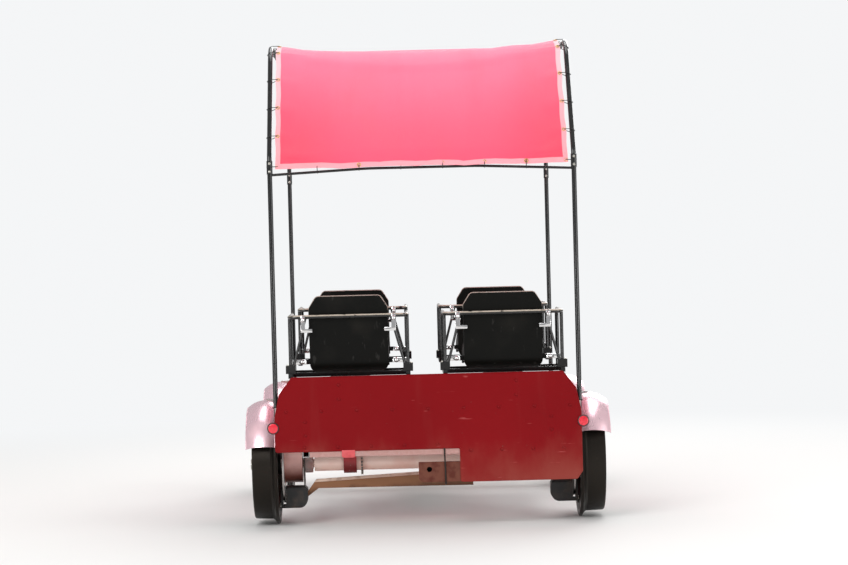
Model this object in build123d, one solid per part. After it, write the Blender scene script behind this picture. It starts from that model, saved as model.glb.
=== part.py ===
from build123d import *
import os
from math import acos, atan2, cos, dist, pi, sin, sqrt

# Four-seat pedal rail car for standard-gauge track.
# Millimetres. X to the right, Y forward, Z up. The origin is on the floor under the
# wheel flanges, in the middle of the car's length and width.

# Rail wheels and axles
FLANGE_R = 276
TREAD_R = 250
WHEEL_BACK = 690
FLANGE_WIDTH = 24
WHEEL_FACE = 806
AXLE_Z = FLANGE_R
REAR_AXLE_Y = -890
FRONT_AXLE_Y = 640
AXLE_TUBE_R = 38
STUB_R = 20
RUNNING_FIT = 0.05
COLLAR_R = 50
COLLAR_X = (333, 393)

# Chassis
RAIL_IN, RAIL_OUT = 540, 570
FRAME_BOTTOM, FRAME_TOP = 330, 390
BEAM_DEPTH = 40
TUBE_WALL = 3
REAR_END, FRONT_END = -1226, 1232
INNER_BEAMS_Y = (-1000, -450, 180, 560)
SHOULDER_TOP = 557
SHOULDER_BEAM = 40
SHOULDER_HALF = 690

# Sheet panels front and rear
PANEL_T = 3
FRONT_PANEL_HALF = 560
FRONT_PANEL_BOTTOM, FRONT_PANEL_TOP = 345, 560
PANEL_TOP = 690
PANEL_BOTTOM = 205
PANEL_TOP_HALF = 612
PANEL_BEND_HALF, PANEL_BEND_Z = 668, 615
PANEL_SIDE_TOP = 510
PANEL_CUT_TOP = 357
PANEL_CUT_X = 142
REFLECTOR_X, REFLECTOR_Z = 700, 465
REFLECTOR_R, REFLECTOR_T = 27, 6
FLOOR_HALF, FLOOR_T = 130, 3

# Tow plates
TOW_HALF, TOW_T, TOW_BOTTOM = 48, 12, 205
TOW_HOLE_R, TOW_HOLE_Z = 12, 262
TOW_ARM_TOP, TOW_ARM_X = 296, (170, 300)

# Fenders, a domed sheet turned about the axle
FENDER_T = 2.5
FENDER_IN, FENDER_CROWN_X, FENDER_OUT = 698, 752, 830
FENDER_IN_R, FENDER_CROWN_R, FENDER_OUT_R = 286, 297, 264

# Canopy
POST_X = 686
POST_R = 11
POST_TOP = 1640
REAR_POST_Y = -1206
FRONT_POST_Y = 944
LEAN_START_Z = 1680
SHOULDER_Y = -826
ROOF_Z = 2210
CANOPY_HALF = 660
CANOPY_T = 3
CANOPY_GAP = 0.4
CANOPY_FRONT = 790
# Run from the rear hem along the cloth, and its dip at mid-width there
CANOPY_SAGS = [(0, 0), (16, 0), (47, 2), (78, 4), (340, 19), (606, 29), (691, 31), (776, 29),
               (1010, 20), (1260, 0), (1515, 12), (1770, 0), (2025, 12), (2280, 0), (2300, 0)]
ROOF_BAR_R = 10
ROOF_BARS_Y = (-250, 260, 770)
REAR_BAR_R = 6
REAR_BAR_Z = 1606
REAR_BAR_RISE = 20
REAR_BAR_FLAT = 250

# Seats
SEAT_X = 350
SEAT_Z = 706
SEAT_WALL = 6
SEAT_HALF = 178
SEAT_BACK_H = 346
SEAT_DEPTH = 400
REAR_SEAT_Y = -1150
FRONT_SEAT_Y = 30
SEAT_POST = 50
ARM_HALF = 266
ARM_R = 9
LEG_R = 8
ARM_TOP = 962
BASE_BAR = 20
BRACE_R, BRACE_TOP_X, BRACE_FOOT_X = 6, 192, 252

# Pedal drive
CRANK_Z = 430
REAR_CRANK_Y = -210
FRONT_CRANK_Y = 965
CRANK_BEAM = 40
CRANK_BEAM_BOTTOM = 345
SHELL_R, SHELL_HALF = 21, 34
SPINDLE_R = 10
CRANK_LENGTH = 165
ARM_FROM, ARM_TO = 51, 63
PEDAL_FROM, PEDAL_TO = 66, 156
RING_OFFSET = 42
RING_TIP_R = 91
SPROCKET_TIP_R = 47
CHAIN_CLEAR = 1
CHAIN_HEIGHT = 11
CHAIN_WIDTH = 10
RING_T = 4
RING_TEETH, SPROCKET_TEETH = 34, 17
CHAIN_PITCH = 15.875
LINK_WAIST = 1.8

# Brakes
DISC_R = 180
DISC_X, DISC_T = 668, 8
HUB_R = 87
CALIPER_Y, CALIPER_Z = -950, 128
BAR_T, BAR_Y, BAR_BEVEL = 30, CALIPER_Y - 10, 12
BAR_LOW, BAR_HIGH = 162, 228
HANGER_X, HANGER_T, HANGER_STEP_Z = (180, 204), 10, 300

SIDES = {"left": -1, "right": 1}

os.makedirs("parts", exist_ok=True)


def box(x, y, z):
    """A block between two limits on each axis."""
    size = [abs(high - low) for low, high in (x, y, z)]
    centre = [(low + high) / 2 for low, high in (x, y, z)]
    return Pos(*centre) * Box(*size)


def box_tube(x, y, z, along, wall=TUBE_WALL):
    """A rectangular tube between two limits on each axis, open at its ends."""
    limits = [list(x), list(y), list(z)]
    for axis in range(3):
        grow = 1 if axis == along else -wall
        limits[axis] = [limits[axis][0] - grow, limits[axis][1] + grow]
    return box(x, y, z) - box(*limits)


def rod(start, end, radius):
    """A round bar from one point to another."""
    line = Line(start, end)
    return Plane(origin=line @ 0.5, z_dir=line % 0) * Cylinder(radius, line.length)


def bent_rod(path, radius):
    """A round bar along a path of straight runs and arcs."""
    return sweep(Plane(origin=path @ 0, z_dir=path % 0) * Circle(radius), path=path)


def across(x_from, x_to, y, z, radius):
    """A round bar or disc that lies across the car."""
    return rod((min(x_from, x_to), y, z), (max(x_from, x_to), y, z), radius)


def mirrored(shape):
    return mirror(shape, about=Plane.YZ)


def write(name, *solids):
    shape = solids[0] if len(solids) == 1 else Compound(children=list(solids))
    shape.label = name
    export_step(shape, f"parts/{name}.step")


def rail_wheel(y):
    """The right-hand wheel: hub, dished web, rim with a flange on its inner side."""
    rim_in, hub_r, hub_over = 214, 52, 6
    web_in, web_out = 738, 752
    flange_face = WHEEL_BACK + FLANGE_WIDTH
    profile = Polyline(
        (WHEEL_BACK - hub_over, STUB_R), (WHEEL_FACE + hub_over, STUB_R), (WHEEL_FACE + hub_over, hub_r),
        (web_out, hub_r), (web_out, rim_in), (WHEEL_FACE, rim_in + 8),
        (WHEEL_FACE, TREAD_R - 5), (WHEEL_FACE - 5, TREAD_R), (flange_face + 8, TREAD_R + 3),
        (flange_face, TREAD_R + 9), (flange_face - 11, FLANGE_R), (WHEEL_BACK + 5, FLANGE_R),
        (WHEEL_BACK, FLANGE_R - 6), (WHEEL_BACK, rim_in + 4), (web_in, rim_in), (web_in, hub_r),
        (WHEEL_BACK - hub_over, hub_r), close=True)
    wheel = revolve(Plane.XY * make_face(profile), axis=Axis.X)
    holes = [Rot(X=60 * turn) * Pos(745, 132, 0) * Rot(Y=90) * Cylinder(34, 30) for turn in range(6)]
    for hole in holes:
        wheel -= hole
    return Pos(0, y, AXLE_Z) * wheel


def toothed_disc(tip_r, teeth, thickness):
    """A chainring or sprocket, with a tooth as a short trapezium for each link."""
    root_r = tip_r - 6
    step = 2 * pi / teeth
    points = []
    for tooth in range(teeth):
        for part, radius in ((-0.32, root_r), (-0.12, tip_r), (0.12, tip_r), (0.32, root_r)):
            angle = (tooth + part) * step
            points.append((radius * cos(angle), radius * sin(angle)))
    return extrude(make_face(Polyline(*points, close=True)), thickness / 2, both=True)


def sprocket(x, y):
    disc = Rot(Y=90) * toothed_disc(SPROCKET_TIP_R, SPROCKET_TEETH, RING_T)
    return Pos(x, y, AXLE_Z) * disc


def axle(y):
    """Polished tube with a stub shaft at each end and a sprocket for each rider's chain."""
    tube_end = 528
    shape = across(-tube_end, tube_end, y, AXLE_Z, AXLE_TUBE_R)
    shape += across(-WHEEL_FACE - 14, WHEEL_FACE + 14, y, AXLE_Z, STUB_R)
    for side in SIDES.values():
        shape += sprocket(side * (SEAT_X - RING_OFFSET), y)
    return shape


def axle_bearing(y):
    """Right-hand bearing block under the side rail."""
    housing = across(RAIL_IN, RAIL_OUT, y, AXLE_Z, 44)
    base = box((RAIL_IN, RAIL_OUT), (y - 70, y + 70), (FRAME_BOTTOM - 14, FRAME_BOTTOM))
    neck = box((RAIL_IN, RAIL_OUT), (y - 40, y + 40), (AXLE_Z, FRAME_BOTTOM - 14))
    bore = across(RAIL_IN - 1, RAIL_OUT + 1, y, AXLE_Z, STUB_R + RUNNING_FIT)
    return housing + base + neck - bore


def crank_bracket(x, y):
    """Bottom bracket shell on a gusset that stands on the crank beam."""
    shell = across(x - SHELL_HALF, x + SHELL_HALF, y, CRANK_Z, SHELL_R)
    top = CRANK_BEAM_BOTTOM + CRANK_BEAM
    gusset = box((x - 15, x + 15), (y - 26, y + 26), (top, CRANK_Z - 8))
    bore = across(x - SHELL_HALF - 1, x + SHELL_HALF + 1, y, CRANK_Z, SPINDLE_R + RUNNING_FIT)
    return shell + gusset - bore


def crank(angle):
    """Crank set about its own axis: spindle, two opposed arms, chainring on the -X arm."""
    shape = across(-ARM_TO, ARM_TO, 0, 0, SPINDLE_R)
    for sign in (-1, 1):
        a, b = sorted((sign * ARM_FROM, sign * ARM_TO))
        tip = -sign * CRANK_LENGTH
        shape += across(a, b, 0, 0, 17) + across(a, b, 0, tip, 14)
        shape += box((a, b), (-11, 11), sorted((0, tip)))
    ring = Rot(Y=90) * toothed_disc(RING_TIP_R, RING_TEETH, RING_T)
    ring -= Rot(Y=90) * Cylinder(72, RING_T + 2)
    for arm in range(5):
        spoke = box((-RING_T / 2, RING_T / 2), (-7, 7), (0, 75))
        ring += Rot(X=72 * arm + 36) * spoke
    shape += Pos(-RING_OFFSET, 0, 0) * ring
    shape += across(-ARM_FROM, -RING_OFFSET + RING_T / 2, 0, 0, 26)
    return Rot(X=angle) * shape


def pedals(angle):
    """Two pedals on their spindles, level when the car stands."""
    solids = []
    for sign in (-1, 1):
        tip = Rot(X=angle) * Pos(0, 0, -sign * CRANK_LENGTH)
        y, z = tip.position.Y, tip.position.Z
        inner, outer = sign * PEDAL_FROM, sign * PEDAL_TO
        plate = box(sorted((inner, outer)), (y - 45, y + 45), (z - 10, z + 10))
        plate = fillet(plate.edges().filter_by(Axis.X), 5)
        plate -= box(sorted((inner + sign * 12, outer - sign * 12)), (y - 36, y - 14), (z - 11, z + 11))
        plate -= box(sorted((inner + sign * 12, outer - sign * 12)), (y + 14, y + 36), (z - 11, z + 11))
        solids.append(plate + across(sign * ARM_TO, outer, y, z, 7))
    return solids


def chain_line(ring, ring_r, sprocket, sprocket_r):
    """Length of the loop round two circles, and the function that gives a point along it, lifted off it."""
    apart = dist(ring, sprocket)
    lean = atan2(sprocket[1] - ring[1], sprocket[0] - ring[0])
    wrap = acos((ring_r - sprocket_r) / apart)
    straight = sqrt(apart ** 2 - (ring_r - sprocket_r) ** 2)
    runs = [straight, 2 * wrap * sprocket_r, straight, 2 * (pi - wrap) * ring_r]

    def off(centre, radius, angle, lift):
        return (centre[0] + (radius + lift) * cos(angle), centre[1] + (radius + lift) * sin(angle))

    def at(run, lift):
        upper, lower = lean + wrap, lean - wrap
        if run < runs[0]:
            start, end = off(ring, ring_r, upper, lift), off(sprocket, sprocket_r, upper, lift)
            share = run / straight
        elif run < sum(runs[:2]):
            return off(sprocket, sprocket_r, upper - (run - runs[0]) / sprocket_r, lift)
        elif run < sum(runs[:3]):
            start, end = off(sprocket, sprocket_r, lower, lift), off(ring, ring_r, lower, lift)
            share = (run - sum(runs[:2])) / straight
        else:
            return off(ring, ring_r, lower - (run - sum(runs[:3])) / ring_r, lift)
        return (start[0] + (end[0] - start[0]) * share, start[1] + (end[1] - start[1]) * share)

    return sum(runs), at


def chain(x, crank_y, axle_y):
    """Closed loop of chain round the chainring and its sprocket, its outer edge waisted at each link."""
    ring, sprocket = (crank_y, CRANK_Z), (axle_y, AXLE_Z)
    middle = CHAIN_CLEAR + CHAIN_HEIGHT / 2
    length, at = chain_line(ring, RING_TIP_R + middle, sprocket, SPROCKET_TIP_R + middle)
    halves = 4 * round(length / CHAIN_PITCH / 2)
    lifts = (CHAIN_HEIGHT / 2, CHAIN_HEIGHT / 2 - LINK_WAIST)
    corners = [at(half * length / halves, lifts[half % 2]) for half in range(halves)]
    outer = make_face(Polyline(*corners, close=True))
    big = Pos(*ring) * Circle(RING_TIP_R + CHAIN_CLEAR)
    small = Pos(*sprocket) * Circle(SPROCKET_TIP_R + CHAIN_CLEAR)
    outline = outer - make_hull(big.edges() + small.edges())
    return Pos(x, 0, 0) * extrude(Plane.YZ * outline, CHAIN_WIDTH / 2, both=True)


def fender(y, low_rear, low_front):
    """Right-hand fender. The angles are those of its lower edges above the level."""
    def edge(radius_drop):
        return ThreePointArc((FENDER_IN, FENDER_IN_R - radius_drop),
                             (FENDER_CROWN_X, FENDER_CROWN_R - radius_drop),
                             (FENDER_OUT, FENDER_OUT_R - radius_drop))
    outer, inner = edge(0), edge(FENDER_T)
    profile = outer + inner + Line(outer @ 0, inner @ 0) + Line(outer @ 1, inner @ 1)
    sheet = revolve(Plane.XY * make_face(profile), axis=Axis.X,
                    revolution_arc=180 - low_rear - low_front)
    return Pos(0, y, AXLE_Z) * Rot(X=low_front) * sheet


def fender_stay(y, sheet_y):
    """Flat bar from the side rail up and over the wheel, lying on the fender's crown."""
    upright = box((RAIL_OUT - 6, RAIL_OUT), (y - 15, y + 15), (FRAME_TOP, 577))
    reach = box((RAIL_OUT - 6, 745), (y - 15, y + 15), (566, 577))
    crown = ThreePointArc((FENDER_IN, FENDER_IN_R), (FENDER_CROWN_X, FENDER_CROWN_R),
                          (FENDER_OUT, FENDER_OUT_R))
    under = crown + Polyline(crown @ 1, (FENDER_OUT, 200), (FENDER_IN, 200), crown @ 0)
    solid = Pos(0, sheet_y, AXLE_Z) * revolve(Plane.XY * make_face(under), axis=Axis.X)
    return upright + reach - solid


def seat_shell(x, y):
    """Moulded bucket: pan, back and low side walls of one thickness."""
    side = Polyline((0, 0), (-25, SEAT_BACK_H), (6, SEAT_BACK_H), (46, 118), (352, 70),
                    (SEAT_DEPTH, 26), (SEAT_DEPTH, 0), close=True)
    cavity = Polyline((SEAT_WALL, SEAT_WALL), (SEAT_WALL - 29, 400), (500, 400),
                      (500, SEAT_WALL), close=True)
    outer_face = make_face(side)
    outer_face = fillet(outer_face.vertices().sort_by_distance((0, 0))[0], 55)
    cavity_face = make_face(cavity)
    cavity_face = fillet(cavity_face.vertices().sort_by_distance((0, 0))[0], 49)
    outer = extrude(Plane.YZ * outer_face, SEAT_HALF, both=True)
    hollow = extrude(Plane.YZ * cavity_face, SEAT_HALF - SEAT_WALL, both=True)
    top_half, cut = SEAT_HALF - 34, 52
    front_view = Polyline((-SEAT_HALF, 0), (SEAT_HALF, 0), (SEAT_HALF, SEAT_BACK_H - cut),
                          (top_half, SEAT_BACK_H), (-top_half, SEAT_BACK_H),
                          (-SEAT_HALF, SEAT_BACK_H - cut), close=True)
    outline = make_face(front_view)
    outline = fillet(outline.vertices().group_by(Axis.Y)[0], 40)
    outline = fillet(outline.vertices().group_by(Axis.Y)[-1], 18)
    outline = Plane.XZ * outline
    keep = extrude(outline, 1000, both=True)
    return Pos(x, y, SEAT_Z) * ((outer & keep) - hollow)


def seat_frame(x, y):
    """Welded frame: two side bars, two cross bars, and one tube round the back and arms."""
    low, top = SEAT_Z - BASE_BAR, SEAT_Z
    rear, front = -50, 350
    frame = box((-ARM_HALF - 10, -ARM_HALF + 10), (rear, front), (low, top))
    frame += box((ARM_HALF - 10, ARM_HALF + 10), (rear, front), (low, top))
    for bar_y in (90, 290):
        frame += box((-ARM_HALF, ARM_HALF), (bar_y - 10, bar_y + 10), (low, top))
    arm_front, arm_rear = front - 14, rear + 12
    hoop = FilletPolyline(
        (-ARM_HALF, arm_front, top), (-ARM_HALF, arm_front, ARM_TOP),
        (-ARM_HALF, arm_rear, ARM_TOP), (ARM_HALF, arm_rear, ARM_TOP),
        (ARM_HALF, arm_front, ARM_TOP), (ARM_HALF, arm_front, top), radius=32)
    frame += bent_rod(hoop, ARM_R)
    for side in (-1, 1):
        leg_y = arm_rear + 34
        foot_x = sorted((side * (ARM_HALF - 22), side * (ARM_HALF + 22)))
        frame += box(foot_x, (leg_y - 18, leg_y + 18), (top, top + 36))
        frame += rod((side * ARM_HALF, leg_y, top + 36), (side * ARM_HALF, leg_y, ARM_TOP), LEG_R)
        brace_foot = (side * BRACE_FOOT_X, leg_y - 8, top + 30)
        frame += rod((side * BRACE_TOP_X, arm_rear, ARM_TOP), brace_foot, BRACE_R)
    return Pos(x, y, 0) * frame


def seat_post(x, y, post_y):
    """Square tube from a cross beam to the plate under the seat frame."""
    plate_t = 6
    top = SEAT_Z - BASE_BAR
    post = box_tube((x - SEAT_POST / 2, x + SEAT_POST / 2),
                    (post_y - BEAM_DEPTH / 2, post_y + BEAM_DEPTH / 2),
                    (FRAME_TOP, top - plate_t), along=2)
    plate = box((x - 90, x + 90), (y + 70, y + 310), (top - plate_t, top))
    return post + plate


def canopy_path():
    """Centre line of a roof tube, from the rear post's top to the front post's top."""
    corners = [(REAR_POST_Y, POST_TOP), (REAR_POST_Y, LEAN_START_Z), (SHOULDER_Y, ROOF_Z),
               (FRONT_POST_Y, ROOF_Z), (FRONT_POST_Y, POST_TOP)]
    return FilletPolyline(*[(0, y, z) for y, z in corners], radius=[100, 180, 160])


def canopy_sheet():
    """Fabric roof and sloping back, one thin band that dips between the bars and tubes that hold it."""
    corners = [(REAR_POST_Y, POST_TOP - 8), (REAR_POST_Y, LEAN_START_Z), (SHOULDER_Y, ROOF_Z),
               (CANOPY_FRONT, ROOF_Z)]
    path = FilletPolyline(*[(0, y, z) for y, z in corners], radius=[100, 180])
    outer, inner = (ROOF_BAR_R + CANOPY_GAP + lift for lift in (CANOPY_T, 0))
    sections = []
    for run, sag in CANOPY_SAGS:
        share = run / CANOPY_SAGS[-1][0]
        edges = []
        for lift in (outer, inner):
            ends = [(-CANOPY_HALF, -lift), (CANOPY_HALF, -lift)]
            edges.append(ThreePointArc(ends[0], (0, sag - lift), ends[1]) if sag else Line(*ends))
        edges += [Line(edges[0] @ end, edges[1] @ end) for end in (0, 1)]
        plane = Plane(origin=path @ share, x_dir=(1, 0, 0), z_dir=path % share)
        sections.append(plane * make_face(edges))
    return loft(sections, ruled=True)


# Side rails, end beams and inner cross beams
for side, sign in SIDES.items():
    rail = box_tube((RAIL_IN, RAIL_OUT), (REAR_END, FRONT_END), (FRAME_BOTTOM, FRAME_TOP), along=1)
    write(f"{side}_side_rail", rail if sign > 0 else mirrored(rail))

beam_span = (-RAIL_IN, RAIL_IN)
rear_end_y = (REAR_END, REAR_END + BEAM_DEPTH)
front_end_y = (FRONT_END - BEAM_DEPTH, FRONT_END)
write("cross_beams",
      *[box_tube(beam_span, (y - BEAM_DEPTH / 2, y + BEAM_DEPTH / 2), (FRAME_BOTTOM, FRAME_TOP),
                 along=0) for y in INNER_BEAMS_Y])
write("end_beams",
      *[box_tube(beam_span, end_y, (FRAME_BOTTOM, FRAME_TOP), along=0)
        for end_y in (rear_end_y, front_end_y)])

# High beam at the rear, where the rear posts stand, on two uprights
shoulder_bottom = SHOULDER_TOP - SHOULDER_BEAM
write("rear_shoulder_beam",
      box_tube((-SHOULDER_HALF, SHOULDER_HALF), rear_end_y, (shoulder_bottom, SHOULDER_TOP), along=0))
upright = box_tube((RAIL_IN, RAIL_OUT), rear_end_y, (FRAME_TOP, shoulder_bottom), along=2)
write("rear_uprights", upright, mirrored(upright))

# Short arms out to the front posts
outrigger = box_tube((RAIL_OUT, POST_X), (FRONT_POST_Y - 18, FRONT_POST_Y + 18),
                     (FRAME_BOTTOM, FRAME_BOTTOM + 36), along=0)
outrigger -= rod((POST_X, FRONT_POST_Y, 0), (POST_X, FRONT_POST_Y, 500), POST_R)
write("front_outriggers", outrigger, mirrored(outrigger))

# Beams under the cranks, and the bottom brackets on them
beam_rows = {"rear": (INNER_BEAMS_Y[1] + BEAM_DEPTH / 2, INNER_BEAMS_Y[2] - BEAM_DEPTH / 2, REAR_CRANK_Y),
             "front": (INNER_BEAMS_Y[3] + BEAM_DEPTH / 2, front_end_y[0], FRONT_CRANK_Y)}
crank_beams, brackets = [], []
for y_from, y_to, crank_y in beam_rows.values():
    for sign in SIDES.values():
        x = sign * SEAT_X
        crank_beams.append(box_tube((x - CRANK_BEAM / 2, x + CRANK_BEAM / 2), (y_from, y_to),
                                    (CRANK_BEAM_BOTTOM, CRANK_BEAM_BOTTOM + CRANK_BEAM), along=1))
        brackets.append(crank_bracket(x, crank_y))
write("crank_beams", *crank_beams)
write("crank_brackets", *brackets)

# Axle bearings
for row, y in {"rear": REAR_AXLE_Y, "front": FRONT_AXLE_Y}.items():
    bearing = axle_bearing(y)
    write(f"{row}_axle_bearings", bearing, mirrored(bearing))

# Red sheet panels
panel_corners = [(-SHOULDER_HALF, PANEL_CUT_TOP), (PANEL_CUT_X, PANEL_CUT_TOP),
                 (PANEL_CUT_X, PANEL_BOTTOM), (SHOULDER_HALF - 24, PANEL_BOTTOM),
                 (SHOULDER_HALF, PANEL_BOTTOM + 34), (SHOULDER_HALF, PANEL_SIDE_TOP),
                 (PANEL_BEND_HALF, PANEL_BEND_Z), (PANEL_TOP_HALF, PANEL_TOP),
                 (-PANEL_TOP_HALF, PANEL_TOP), (-PANEL_BEND_HALF, PANEL_BEND_Z),
                 (-SHOULDER_HALF, PANEL_SIDE_TOP)]
rear_outline = make_face(Polyline(*panel_corners, close=True))
for sign in SIDES.values():
    rear_outline += Pos(sign * REFLECTOR_X, REFLECTOR_Z) * Circle(REFLECTOR_R)
rear_sheet = extrude(Plane.XZ * rear_outline, PANEL_T)
write("rear_panel", Pos(0, REAR_END, 0) * rear_sheet)
front_corners = [(-FRONT_PANEL_HALF, FRONT_PANEL_BOTTOM), (FRONT_PANEL_HALF, FRONT_PANEL_BOTTOM),
                 (FRONT_PANEL_HALF, FRONT_PANEL_TOP - 60), (FRONT_PANEL_HALF - 50, FRONT_PANEL_TOP),
                 (50 - FRONT_PANEL_HALF, FRONT_PANEL_TOP), (-FRONT_PANEL_HALF, FRONT_PANEL_TOP - 60)]
front_sheet = extrude(Plane.XZ * make_face(Polyline(*front_corners, close=True)), -PANEL_T)
write("front_panel", Pos(0, FRONT_END, 0) * front_sheet)
stay_x, stay_t = 400, 6
panel_stay = box((stay_x - 15, stay_x + 15), (REAR_END, REAR_END + stay_t), (SHOULDER_TOP, PANEL_TOP - 12))
write("rear_panel_stays", panel_stay, mirrored(panel_stay))
reflector_y = REAR_END - PANEL_T
reflector = rod((REFLECTOR_X, reflector_y, REFLECTOR_Z),
                (REFLECTOR_X, reflector_y - REFLECTOR_T, REFLECTOR_Z), REFLECTOR_R - 2)
write("rear_reflectors", reflector, mirrored(reflector))

# Floor plate down the middle
write("floor_plate", box((-FLOOR_HALF, FLOOR_HALF), (INNER_BEAMS_Y[1] - 20, FRONT_END - 2),
                         (FRAME_TOP, FRAME_TOP + FLOOR_T)))

# Tow plates with a hole for the coupling's shackle. The rear one reaches out sideways
# under the axle, from the end beam behind the panel.
def tow_plate(corners):
    outline = make_face(Polyline(*corners, close=True))
    outline = fillet(outline.vertices().group_by(Axis.Y)[0], 22)
    outline -= Pos(0, TOW_HOLE_Z) * Circle(TOW_HOLE_R)
    return extrude(Plane.XZ * outline, -TOW_T)


rear_tow_corners = [(-TOW_HALF, TOW_BOTTOM), (TOW_ARM_X[1], TOW_BOTTOM), (TOW_ARM_X[1], FRAME_BOTTOM),
                    (TOW_ARM_X[0], FRAME_BOTTOM), (TOW_ARM_X[0], TOW_ARM_TOP), (-TOW_HALF, TOW_ARM_TOP)]
front_tow_corners = [(-TOW_HALF, TOW_BOTTOM), (TOW_HALF, TOW_BOTTOM),
                     (TOW_HALF, FRAME_BOTTOM), (-TOW_HALF, FRAME_BOTTOM)]
write("rear_tow_plate", Pos(0, REAR_END, 0) * tow_plate(rear_tow_corners))
write("front_tow_plate", Pos(0, FRONT_END - TOW_T, 0) * tow_plate(front_tow_corners))

# Wheels, axles and fenders
for row, y in {"rear": REAR_AXLE_Y, "front": FRONT_AXLE_Y}.items():
    write(f"{row}_axle", axle(y))
    wheel = rail_wheel(y)
    write(f"{row}_right_wheel", wheel)
    write(f"{row}_left_wheel", mirrored(wheel))
    right_fender = fender(y, 28 if row == "rear" else 30, 40 if row == "rear" else 30)
    left_fender = fender(y, 20 if row == "rear" else 30, 40 if row == "rear" else 30)
    write(f"{row}_fenders", right_fender, mirrored(left_fender))
collar = across(*COLLAR_X, REAR_AXLE_Y, AXLE_Z, COLLAR_R)
collar -= across(COLLAR_X[0] - 1, COLLAR_X[1] + 1, REAR_AXLE_Y, AXLE_Z, AXLE_TUBE_R)
write("rear_axle_collars", collar, mirrored(collar))
stays = [fender_stay(y, y) for y in (REAR_AXLE_Y, FRONT_AXLE_Y)]
write("fender_stays", *stays, *[mirrored(stay) for stay in stays])

# Rear brakes: discs on the axle, calipers on the side rails
disc = across(DISC_X - DISC_T / 2, DISC_X + DISC_T / 2, REAR_AXLE_Y, AXLE_Z, DISC_R)
disc += across(RAIL_OUT + 12, DISC_X, REAR_AXLE_Y, AXLE_Z, HUB_R)
disc -= across(RAIL_OUT, DISC_X + 20, REAR_AXLE_Y, AXLE_Z, STUB_R)
write("rear_brake_discs", disc, mirrored(disc))
caliper = box((560, 683), (CALIPER_Y - 40, CALIPER_Y + 40), (CALIPER_Z - 50, CALIPER_Z + 50))
caliper = fillet(caliper.edges().filter_by(Axis.X), 14)
rear_view = make_face(Polyline((560, CALIPER_Z - 50), (683, CALIPER_Z - 50), (683, CALIPER_Z + 50),
                               (560, CALIPER_Z + 50), close=True))
rear_view = fillet(rear_view.vertices().sort_by_distance((560, CALIPER_Z - 50))[0], 42)
rear_view = fillet(rear_view.vertices().sort_by_distance((560, CALIPER_Z + 50))[0], 20)
caliper &= extrude(Plane.XZ * rear_view, 2000, both=True)
caliper -= box((DISC_X - 7, DISC_X + 7), (CALIPER_Y - 50, CALIPER_Y + 50), (CALIPER_Z - 37, CALIPER_Z + 51))
hanger = box((RAIL_OUT, RAIL_OUT + 6), (CALIPER_Y - 30, CALIPER_Y + 30), (CALIPER_Z + 40, FRAME_TOP))
caliper += hanger
write("brake_calipers", caliper, mirrored(caliper))

# Deep bar from the left caliper to a hanger on the first cross beam, its upper edge bevelled
bar_line = Polyline((-560, 128), (-560, 152), (-520, 205), (-40, BAR_HIGH), (HANGER_X[1], BAR_HIGH),
                    (HANGER_X[1], BAR_LOW), (-510, BAR_LOW + 3), close=True)
cross_bar = Pos(0, BAR_Y + BAR_T, 0) * extrude(Plane.XZ * make_face(bar_line), BAR_T)
upper_edges = [edge for edge in cross_bar.edges().filter_by_position(Axis.Y, BAR_Y, BAR_Y)
               if edge.center().Z > 205 and edge.length > 100]
cross_bar = chamfer(upper_edges, BAR_BEVEL)
cross_bar += box(HANGER_X, (BAR_Y, BAR_Y + HANGER_T), (BAR_LOW + 20, HANGER_STEP_Z))
cross_bar += box(HANGER_X, (INNER_BEAMS_Y[0], BAR_Y + HANGER_T), (HANGER_STEP_Z, FRAME_BOTTOM))
write("brake_cross_bar", cross_bar)

# Canopy posts, roof tubes, cross bars and fabric
rear_post = rod((POST_X, REAR_POST_Y, SHOULDER_TOP), (POST_X, REAR_POST_Y, POST_TOP), POST_R)
write("rear_posts", rear_post, mirrored(rear_post))
front_post = rod((POST_X, FRONT_POST_Y, FRAME_BOTTOM), (POST_X, FRONT_POST_Y, POST_TOP), POST_R)
write("front_posts", front_post, mirrored(front_post))
roof_tube = Pos(POST_X, 0, 0) * bent_rod(canopy_path(), POST_R)
write("right_roof_tube", roof_tube)
write("left_roof_tube", mirrored(roof_tube))
roof_bars = []
for y in ROOF_BARS_Y:
    bar = across(-POST_X, POST_X, y, ROOF_Z, ROOF_BAR_R)
    roof_bars.append(bar - roof_tube - mirrored(roof_tube))
crest = REAR_BAR_Z + REAR_BAR_RISE
bow = FilletPolyline((-POST_X, REAR_POST_Y, REAR_BAR_Z), (-REAR_BAR_FLAT, REAR_POST_Y, crest),
                     (REAR_BAR_FLAT, REAR_POST_Y, crest), (POST_X, REAR_POST_Y, REAR_BAR_Z), radius=1500)
rear_bar = bent_rod(bow, REAR_BAR_R) - rear_post - mirrored(rear_post)
write("canopy_cross_bars", rear_bar, *roof_bars)
write("canopy_fabric", canopy_sheet())

# Seats
for row, y, post_y in (("rear", REAR_SEAT_Y, INNER_BEAMS_Y[0]), ("front", FRONT_SEAT_Y, INNER_BEAMS_Y[2])):
    for side, sign in SIDES.items():
        write(f"{row}_{side}_seat", seat_shell(sign * SEAT_X, y))
        write(f"{row}_{side}_seat_frame", seat_frame(sign * SEAT_X, y))
write("seat_posts",
      *[seat_post(sign * SEAT_X, y, post_y) for y, post_y in
        ((REAR_SEAT_Y, INNER_BEAMS_Y[0]), (FRONT_SEAT_Y, INNER_BEAMS_Y[2])) for sign in SIDES.values()])

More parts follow.
